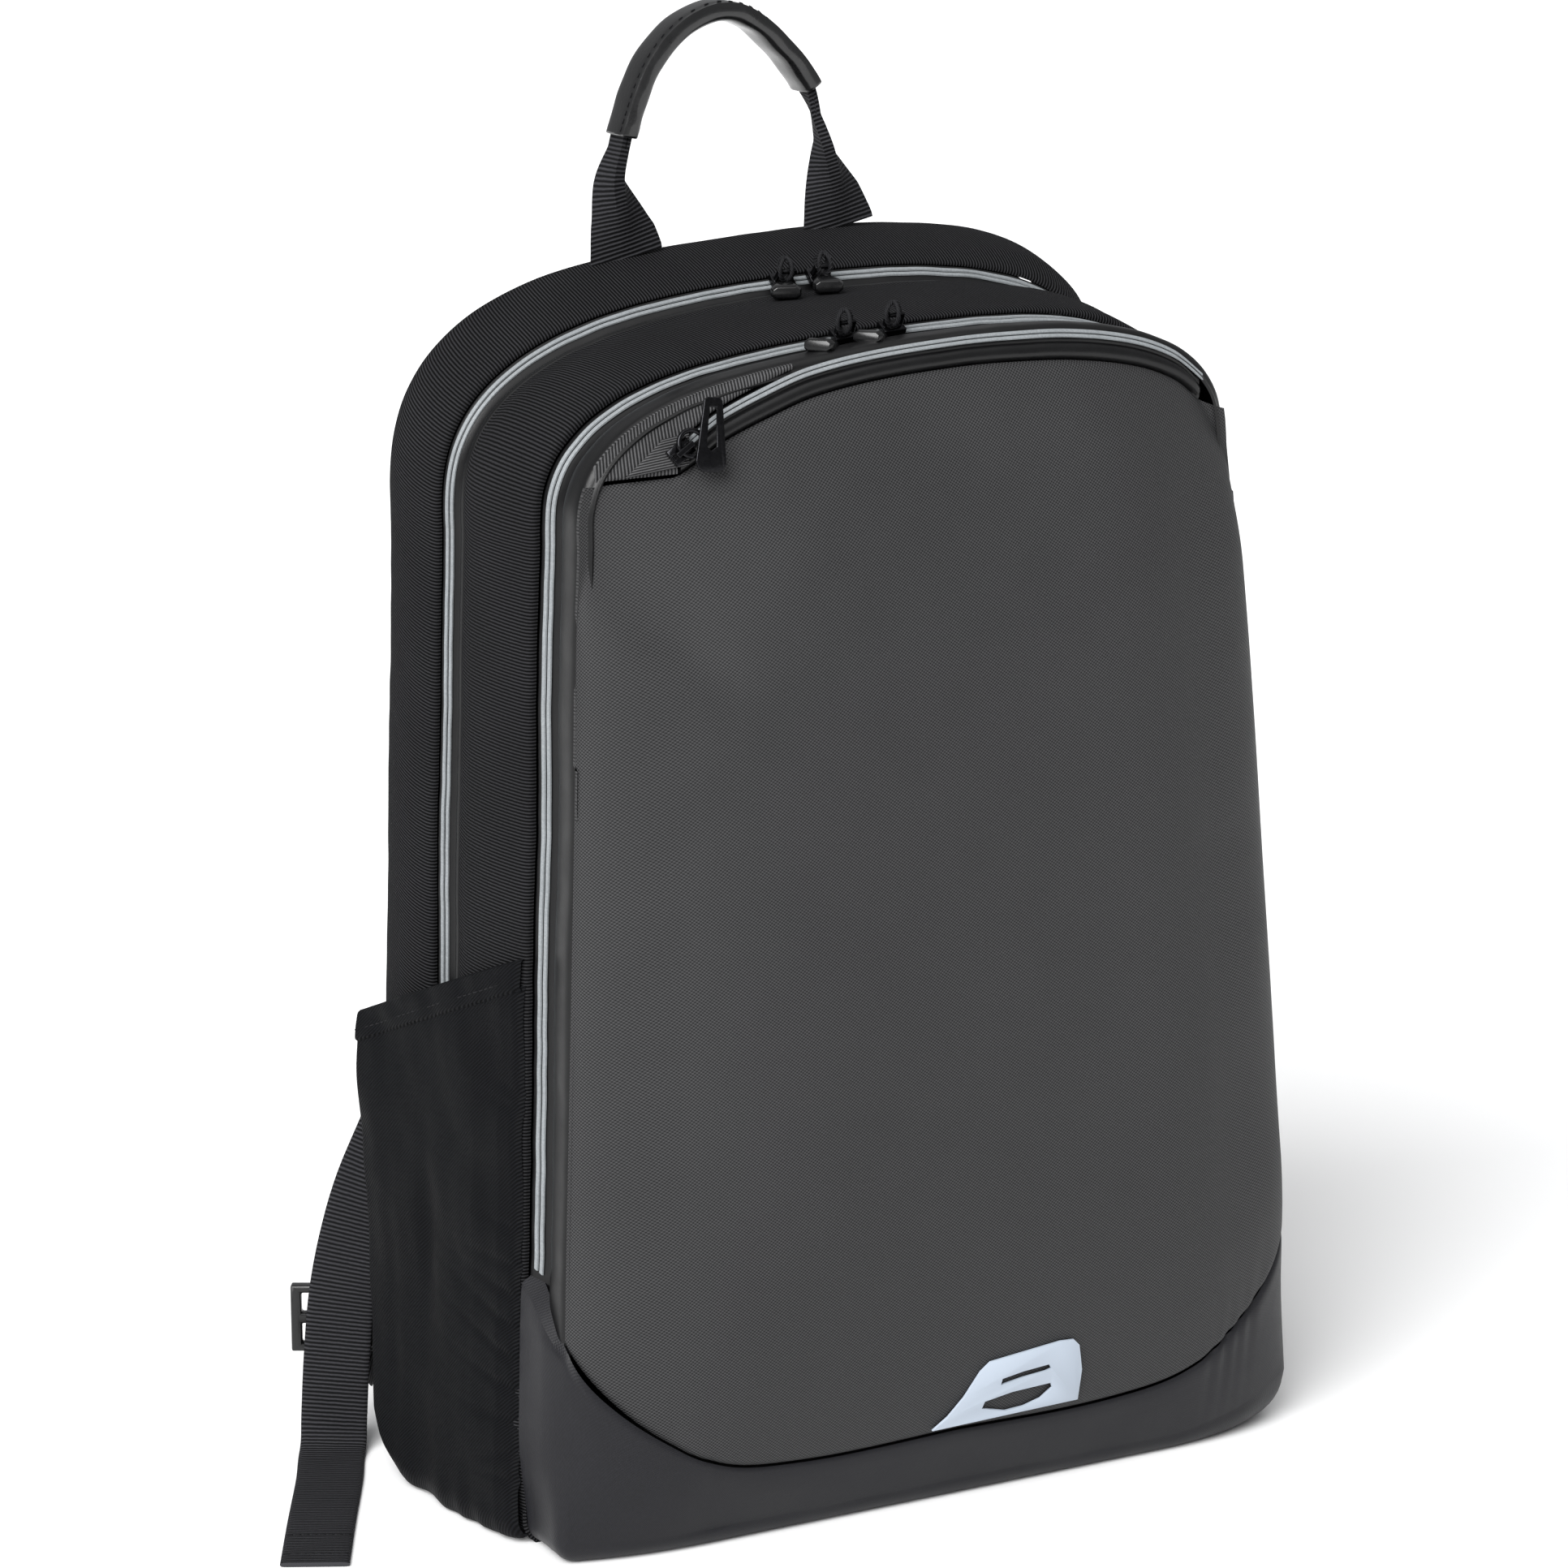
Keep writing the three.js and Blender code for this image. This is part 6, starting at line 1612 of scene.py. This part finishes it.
    def grip_rings(self, share: Array, grow: float, count: int = 44) -> Array:
        """Rings of the grip: flattened rounds with a low sewn ridge along the outer side.

        Args:
            share: places along the handle from 0 to 1.
            grow: how far the rings lie off the grip's inner skin, which has no creases or ridge.
            count: points round each ring.

        Returns:
            The rings.
        """
        here = self.at(share)
        angle = np.linspace(0.0, 2.0 * math.pi, count, endpoint=False)[None]
        c, s = np.cos(angle), np.sin(angle)
        crease = 0.16 * swells(share[:, None] * 170.0, angle * 5.0, 11.0, 51) if grow > 0.0 else 0.0
        depth = self.grip_depth + grow + crease
        lay = self.grip_lay + grow + crease
        ridge = 0.5 * bell(angle - 0.78 * math.pi, 0.16) if grow > 0.0 else 0.0
        deep = np.sign(c) * np.abs(c) ** 0.6 * depth + ridge * c
        out = np.sign(s) * np.abs(s) ** 0.7 * lay + ridge
        return (here["origin"][:, None] + DEPTHWISE * deep[..., None]
                + here["outward"][:, None] * out[..., None])

    def build(self) -> None:
        """Builds the webbing, the grip and the stitches along it."""
        strip = rod_piece("handle_webbing_strip", self.form.settle(self.webbing()))
        self.wardrobe.dress(strip, WEBBING, "webbing", "handle_webbing")
        share = np.linspace(self.grip_from, self.grip_to, 130)
        lip = np.array([self.grip_from - 0.002, self.grip_to + 0.002])
        outer = self.grip_rings(share, self.grip_wall)
        first = self.grip_rings(lip[:1], self.grip_wall * 0.5)
        last = self.grip_rings(lip[1:], self.grip_wall * 0.5)
        inner = self.grip_rings(share[::-1], 0.0)
        rings = np.concatenate([first, outer, last, inner])
        grip = rod_piece("handle_grip_skin", self.form.settle(rings), closed=True, sharp=55.0)
        self.wardrobe.dress(grip, LEATHERETTE, "leatherette", "handle_grip")
        places = np.arange(self.grip_from + 0.012, self.grip_to - 0.01, 0.016)
        on_skin = self.grip_rings(places, self.grip_wall + 0.15)[:, self.stitch_point]
        ahead = self.grip_rings(places + 0.003, self.grip_wall + 0.15)[:, self.stitch_point]
        middle = self.at(places)["origin"]
        stitches = many_beads("grip_stitches", self.form.settle(on_skin), ahead - on_skin,
                              on_skin - middle, (2.0, 0.5, 0.4))
        self.wardrobe.dress(stitches, BLACK_THREAD, "leatherette")


# Shoulder straps


@dataclass
class ShoulderStraps:
    """The lower webbings, their anchors and ladder locks; the pads are stuffed later."""

    form: BagForm
    wardrobe: Wardrobe
    width: float = 25.0
    thickness: float = 1.8
    # x, y and z of the webbing from the pad's foot down to the ladder lock.
    fall: tuple = ((104.2, 101.8, 225.2), (111.0, 98.0, 204.0), (128.0, 94.0, 160.0),
                   (141.0, 94.0, 132.0), (154.0, 95.0, 106.0), (161.0, 97.0, 84.0),
                   (166.0, 98.0, 62.0), (169.0, 99.0, 37.0), (171.0, 99.5, 14.0))
    fall_turn: float = 31.0
    # x, y, z and turn of each loose end along the floor.
    seen_tail: tuple = ((173.0, 97.0, 4.0, 31.0), (179.0, 87.0, 0.95, 31.0), (190.0, 66.0, 0.95, 30.0),
                        (212.0, 27.0, 0.95, 30.0), (233.0, -11.0, 0.95, 29.0))
    tucked_tail: tuple = ((169.0, 104.0, 4.0, -45.0), (160.0, 110.0, 0.95, -62.0),
                          (136.0, 119.0, 0.95, -68.0), (96.0, 132.0, 0.95, -71.0),
                          (56.0, 146.0, 0.95, -71.0))
    anchor: tuple = ((132.0, 73.7, 58.0, 0.0), (133.0, 77.5, 44.0, 6.0), (137.0, 91.0, 34.0, 20.0),
                     (146.0, 107.0, 31.0, 31.0), (158.0, 111.4, 37.0, 31.0), (164.3, 106.7, 50.0, 31.0))

    def strip(self, stations: Array, side: float, count: int) -> Array:
        """Rings of a flat strip: a rounded section whose width keeps level along its turn.

        Args:
            stations: x, y, z and turn of each station, on the right side.
            side: -1 to mirror the strip to the left.
            count: rings.

        Returns:
            The rings.
        """
        path = evenly(stations * np.array([side, 1.0, 1.0, side]), count)
        centre, turn = path[:, :3], np.radians(path[:, 3])
        along = unit(np.gradient(centre, axis=0))
        level = point(np.cos(turn), np.sin(turn), 0.0)
        across = unit(level - along * (level * along).sum(-1, keepdims=True))
        facing = np.cross(along, across)
        a = np.sin(np.linspace(-1.0, 1.0, 14) * math.pi / 2.0) * 0.999
        b = np.sqrt(1.0 - np.abs(a) ** 16)
        section = np.concatenate([np.stack([a, -b], -1), np.stack([a[::-1], b[::-1]], -1)])
        return (centre[:, None] + across[:, None] * section[None, :, :1] * self.width / 2.0
                + facing[:, None] * section[None, :, 1:] * self.thickness / 2.0)

    def build(self) -> None:
        """Builds the webbing, anchors and locks of both sides."""
        for name, side in SIDES:
            fall = np.array([(*row, self.fall_turn) for row in self.fall])
            tail = np.array(self.seen_tail if side < 0.0 else self.tucked_tail)
            run = self.strip(np.concatenate([fall, tail]), side, 260)
            strap = rod_piece(f"{name}_strap_webbing_strip", self.form.settle(run))
            self.wardrobe.dress(strap, WEBBING, "webbing", f"{name}_strap_webbing")
            loop = self.strip(np.array(self.anchor), side, 90)
            anchor = rod_piece(f"{name}_anchor_webbing_strip", self.form.settle(loop))
            self.wardrobe.dress(anchor, WEBBING, "webbing", f"{name}_anchor_webbing")
            self.build_tail_hem(name, run)
            lock = moulded(f"{name}_ladder_lock", f"{name}_ladder_lock_moulded", 0.9)
            self.wardrobe.dress(lock, MOULDED_PLASTIC, "plastic", f"{name}_ladder_lock")

    def build_tail_hem(self, name: str, run: Array) -> None:
        """Sews the folded end of the loose strap with two rows of stitches.

        Args:
            name: left or right.
            run: the strap's rings, upright.
        """
        near = [run[-k].mean(0) for k in (5, 14)]
        across = unit((run[-8][13] - run[-8][0])[None])[0]
        t = np.linspace(-0.42, 0.42, 8)[:, None] * self.width
        rows = np.concatenate([centre + across * t for centre in near])
        rows[:, 2] += self.thickness / 2.0 + 0.1
        up = np.broadcast_to([0.0, 0.0, 1.0], rows.shape)
        ways = np.broadcast_to(across, rows.shape)
        stitches = many_beads(f"{name}_tail_stitches", self.form.settle(rows), ways, up, (2.2, 0.6, 0.4))
        self.wardrobe.dress(stitches, BLACK_THREAD, "webbing")


# Stuffed pieces


@dataclass
class Padding:
    """The back panel and the two strap pads: stuffed by simulation, then sewn in channels."""

    wardrobe: Wardrobe
    voxel: float = 3.8
    pressure: float = 4.0
    frames: int = 20
    shrink: float = 0.3
    cap: float = 5.0
    # The back panel's channels: two upright beside the spine and two level, in the settled lean.
    channel_depth: float = 3.4
    channel_width: float = 3.2
    spine_half: float = 18.0
    levels: tuple[float, float] = (150.0, 285.0)
    level_tilt: float = 0.05
    lean: float = 0.03
    # The strap pads' channel: how far inside the edge, its depth and width.
    pad_inset: float = 7.0
    pad_depth: float = 1.8
    pad_width: float = 2.2
    # Heights at which the pads' edges are measured, and how full every piece is stuffed.
    pad_bins: int = 23
    fill: float = 0.6

    def stuff(self, node: str, name: str) -> bpy.types.Object:
        """Copies a CAD solid, remeshes it, and lets cloth under pressure swell it.

        Args:
            node: the CAD node.
            name: the new piece's name.

        Returns:
            The swollen piece with one subdivision.
        """
        piece = cad_copy(node, name)
        remesh = piece.modifiers.new("remesh", "REMESH")
        remesh.mode = "VOXEL"
        remesh.voxel_size = self.voxel * MM
        apply_modifiers(piece)
        mesh = piece.data
        start = mesh_points(mesh)
        start = start - self.normals(mesh) * self.shrink
        put_points(mesh, start)
        swollen = self.simulate(piece)
        move = (swollen - start) * np.abs(self.normals(mesh)[:, 1:2]) ** 2
        length = np.linalg.norm(move, axis=1, keepdims=True)
        start = start + move * np.minimum(1.0, self.cap / np.maximum(length, 1e-6))
        put_points(mesh, start)
        finer = piece.modifiers.new("finer", "SUBSURF")
        finer.levels = finer.render_levels = 1
        apply_modifiers(piece)
        return piece

    def simulate(self, piece: bpy.types.Object) -> Array:
        """Runs the cloth over its frames and returns where its points end.

        Args:
            piece: the remeshed piece.

        Returns:
            The points in millimetres.
        """
        scene = bpy.context.scene
        cloth = piece.modifiers.new("stuffing", "CLOTH")
        cloth.settings.use_pressure = True
        cloth.settings.uniform_pressure_force = self.pressure
        cloth.settings.effector_weights.gravity = 0.0
        cloth.point_cache.frame_end = self.frames
        for number in range(1, self.frames + 1):
            scene.frame_set(number)
        graph = bpy.context.evaluated_depsgraph_get()
        found = mesh_points(piece.evaluated_get(graph).data)
        piece.modifiers.clear()
        scene.frame_set(1)
        return found

    def normals(self, mesh: bpy.types.Mesh) -> Array:
        """A mesh's outward directions at its points.

        Args:
            mesh: the mesh.

        Returns:
            One direction for each point.
        """
        found = np.empty(len(mesh.vertices) * 3, np.float32)
        mesh.vertex_normals.foreach_get("vector", found)
        return found.reshape(-1, 3).astype(float)

    def finish(self, piece: bpy.types.Object, sink: Array, node: str) -> None:
        """Args:
            piece: the stuffed piece.
            sink: how far each point is drawn in.
            node: the CAD node it replaces.
        """
        mesh = piece.data
        put_points(mesh, mesh_points(mesh) - self.normals(mesh) * sink[:, None])
        mesh.shade_smooth()
        self.wardrobe.dress(piece, SPACER_MESH, "spacer_mesh", node)

    def build_back(self) -> None:
        """Stuffs the back panel and sews an upright channel and two level ones."""
        piece = self.stuff("back_panel", "back_panel_padded")
        at = mesh_points(piece.data)
        x, y, z = at.T
        across = x + self.lean * z
        outer = ramp(68.0, 73.0, y)
        spine = np.minimum(np.abs(across - self.spine_half), np.abs(across + self.spine_half))
        low, high = (np.abs(z - level - self.level_tilt * x) for level in self.levels)
        beside = np.where(np.abs(across) > self.spine_half, np.minimum(low, high), math.inf)
        sink = self.channel_depth * bell(np.minimum(spine, beside), self.channel_width) * outer
        self.finish(piece, sink, "back_panel")

    def build_pads(self) -> None:
        """Stuffs the strap pads and sews a channel inside each edge."""
        for name, side in SIDES:
            node = f"{name}_strap_pad"
            piece = self.stuff(node, f"{name}_strap_pad_padded")
            at = mesh_points(piece.data)
            low, high = at[:, 2].min(), at[:, 2].max()
            t = (at[:, 2] - low) / (high - low)
            bins = np.linspace(0.0, 1.0, self.pad_bins + 1)
            places = (bins[:-1] + bins[1:]) / 2.0
            which = np.clip(np.digitize(t, bins) - 1, 0, self.pad_bins - 1)
            rows = [at[which == k, 0] for k in range(self.pad_bins)]
            centre = np.interp(t, places, [(row.max() + row.min()) / 2.0 for row in rows])
            half = np.interp(t, places, [np.ptp(row) / 2.0 for row in rows])
            line = np.abs(np.abs(at[:, 0] - centre) - (half - self.pad_inset))
            self.finish(piece, self.pad_depth * bell(line, self.pad_width), node)

    def build(self) -> None:
        """Builds every stuffed piece."""
        self.build_back()
        self.build_pads()


# Small hard pieces


def moulded(node: str, name: str, radius: float, segments: int = 3) -> bpy.types.Object:
    """A copy of a hard CAD piece with its edges rounded by a bevel.

    Args:
        node: the CAD node.
        name: the new piece's name.
        radius: width of the bevel in millimetres.
        segments: faces across the bevel.

    Returns:
        The piece.
    """
    piece = cad_copy(node, name)
    bevel = piece.modifiers.new("rounded", "BEVEL")
    bevel.width = radius * MM
    bevel.segments = segments
    bevel.limit_method = "ANGLE"
    bevel.angle_limit = math.radians(25.0)
    bevel.use_clamp_overlap = True
    apply_modifiers(piece)
    piece.data.shade_smooth()
    piece.data.set_sharp_from_angle(angle=math.radians(35.0))
    return piece


@dataclass
class ZipperPulls:
    """Sliders, cord loops with moulded ends, the metal puller and the reflective tab."""

    wardrobe: Wardrobe
    cord_radius: float = 0.75
    strand_turn: float = 32.0
    strand_depth: float = 0.12
    twists: float = 18.0

    def loop(self, node: str, name: str, rod: float, strands: int, turn: float = 0.0) -> bpy.types.Object:
        """A round loop where a CAD loop lies: circles carried round a circle, with twisted strands.

        Args:
            node: the CAD loop.
            name: the new piece's name.
            rod: radius of the cord or wire.
            strands: strands twisted round it; none for a wire.
            turn: how many degrees the loop is swung round an upright line.

        Returns:
            The piece.
        """
        at = mesh_points(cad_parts[node].data)
        centre = at.mean(0) * 0.5 + (at.max(0) + at.min(0)) / 2.0 * 0.5
        _, _, axes = np.linalg.svd(at - at.mean(0), full_matrices=False)
        flat = (at - at.mean(0)) @ axes[:2].T
        radius = (np.linalg.norm(flat, axis=1).max() + np.linalg.norm(flat, axis=1).min()) / 2.0
        a = np.linspace(0.0, 2.0 * math.pi, 96, endpoint=False)[:, None]
        b = np.linspace(0.0, 2.0 * math.pi, 16, endpoint=False)[None]
        girth = rod + (self.strand_depth * np.cos(strands * b + self.twists * a) if strands else 0.0)
        c, s = math.cos(math.radians(turn)), math.sin(math.radians(turn))
        axes = axes @ np.array([[c, s, 0.0], [-s, c, 0.0], [0.0, 0.0, 1.0]])
        away = np.cos(a)[..., None] * axes[0] + np.sin(a)[..., None] * axes[1]
        rings = (centre + away * radius + away * (girth * np.cos(b))[..., None]
                 + axes[2] * (girth * np.sin(b))[..., None])
        return rod_piece(name, rings, closed=True, sharp=60.0)

    def build(self) -> None:
        """Builds the pulls of the long zippers, the metal puller and the tab."""
        for zipper in ("rear", "main"):
            for name, _ in SIDES:
                slider = moulded(f"{zipper}_slider_{name}", f"{zipper}_slider_{name}_cast", 0.45)
                self.wardrobe.dress(slider, PLATED_ZINC, "plastic", f"{zipper}_slider_{name}")
                for strand, turn in (("near", -self.strand_turn), ("far", self.strand_turn)):
                    cord = self.loop(f"{zipper}_cord_{name}", f"{zipper}_cord_{name}_{strand}",
                                     self.cord_radius, 3, turn)
                    self.wardrobe.dress(cord, BRAIDED_CORD, "webbing", f"{zipper}_cord_{name}")
                end = moulded(f"{zipper}_pull_end_{name}", f"{zipper}_pull_end_{name}_moulded", 0.4)
                self.wardrobe.dress(end, MOULDED_PLASTIC, "plastic", f"{zipper}_pull_end_{name}")
        slider = moulded("pocket_slider", "pocket_slider_cast", 0.5)
        self.wardrobe.dress(slider, PLATED_ZINC, "dark_metal", "pocket_slider")
        link = self.loop("puller_link", "puller_link_wire", 0.9, 0)
        self.wardrobe.dress(link, PLATED_ZINC, "dark_metal", "puller_link")
        tab = moulded("puller_tab", "puller_tab_cast", 0.4)
        self.wardrobe.dress(tab, PLATED_ZINC, "dark_metal", "puller_tab")
        mark = moulded("reflective_tab", "reflective_tab_film", 0.2, 2)
        self.wardrobe.dress(mark, TAB_FILM, "reflective", "reflective_tab")


# Studio


@dataclass
class Studio:
    """A pale floor, soft lights and a camera that looks at the bag's left front corner."""

    wardrobe: Wardrobe
    azimuth: float = -30.74
    elevation: float = 14.04
    distance: float = 2200.0
    target: tuple[float, float, float] = (0.0, 0.0, 225.0)
    lens: float = 136.41
    sensor: float = 36.0
    shift: tuple[float, float] = (-0.0471, 0.0556)
    floor_half: float = 12000.0
    floor_points: int = 9
    # Name, azimuth, elevation and apparent width in degrees, and strength of each light.
    lights: tuple = (("key_light", -54.0, 34.0, 44.0, 4.6), ("top_light", -20.0, 80.0, 60.0, 0.8))
    # The pale surroundings and how strongly they shine.
    surroundings: str = "#fcfdff"
    glow: float = 0.32

    def direction(self, azimuth: float, elevation: float) -> Vector:
        """The direction from the target toward a viewer at an azimuth and elevation."""
        a, e = math.radians(azimuth), math.radians(elevation)
        return Vector((math.sin(a) * math.cos(e), -math.cos(a) * math.cos(e), math.sin(e)))

    def build_camera(self) -> None:
        """Makes the camera and sets it as the scene's."""
        data = bpy.data.cameras.new("camera")
        data.lens = self.lens
        data.sensor_width = self.sensor
        data.shift_x, data.shift_y = self.shift
        data.clip_end = 50.0
        camera = bpy.data.objects.new("camera", data)
        bpy.context.scene.collection.objects.link(camera)
        toward = self.direction(self.azimuth, self.elevation)
        camera.location = (Vector(self.target) + toward * self.distance) * MM
        camera.rotation_euler = toward.to_track_quat("Z", "Y").to_euler()
        bpy.context.scene.camera = camera

    def build_floor(self) -> None:
        """Lays the floor: a wide flat grid at the height that the bag stands on."""
        count = self.floor_points
        side = np.linspace(-self.floor_half, self.floor_half, count)
        x, y = np.meshgrid(side, side)
        corner = grid_quads(count, count)
        faces = corner[..., 0] * count + corner[..., 1]
        points = point(x, y, 0.0).reshape(-1, 3)
        floor = make_piece("floor", points, faces, points[faces][..., :2])
        floor.data.materials.append(self.wardrobe.material(STUDIO_FLOOR))

    def build_light(self, name: str, azimuth: float, elevation: float, spread: float,
                    strength: float) -> None:
        """Hangs one wide soft light, far enough off to fall evenly on the whole floor.

        Args:
            name: the light's name.
            azimuth: degrees round from the front.
            elevation: degrees above the floor.
            spread: how many degrees wide the light looks from the bag.
            strength: light that falls square on a surface, in watts a square metre.
        """
        data = bpy.data.lights.new(name, "SUN")
        data.angle = math.radians(spread)
        data.energy = strength
        light = bpy.data.objects.new(name, data)
        bpy.context.scene.collection.objects.link(light)
        toward = self.direction(azimuth, elevation)
        light.location = Vector(self.target) * MM + toward * 3.0
        light.rotation_euler = toward.to_track_quat("Z", "Y").to_euler()

    def build(self) -> None:
        """Sets up the camera, floor, lights and pale surroundings."""
        self.build_camera()
        self.build_floor()
        for light in self.lights:
            self.build_light(*light)
        world = bpy.data.worlds.new("surroundings")
        world.use_nodes = True
        background = world.node_tree.nodes["Background"]
        background.inputs["Color"].default_value = linear(self.surroundings)
        background.inputs["Strength"].default_value = self.glow
        scene = bpy.context.scene
        scene.world = world
        scene.view_settings.view_transform = "Standard"
        scene.view_settings.look = "None"


def main() -> None:
    """Builds the studio and every sub-assembly."""
    logging.basicConfig(level=logging.INFO, format="%(name)s: %(message)s")
    wardrobe = Wardrobe()
    form = BagForm()
    Studio(wardrobe).build()
    bands = SideBands(form, wardrobe)
    bands.build()
    FrontShell(form, wardrobe, bands).build()
    SidePockets(form, wardrobe).build()
    CarryHandle(form, wardrobe).build()
    ShoulderStraps(form, wardrobe).build()
    ZipperPulls(wardrobe).build()
    Padding(wardrobe).build()


if __name__ == "__main__":
    main()
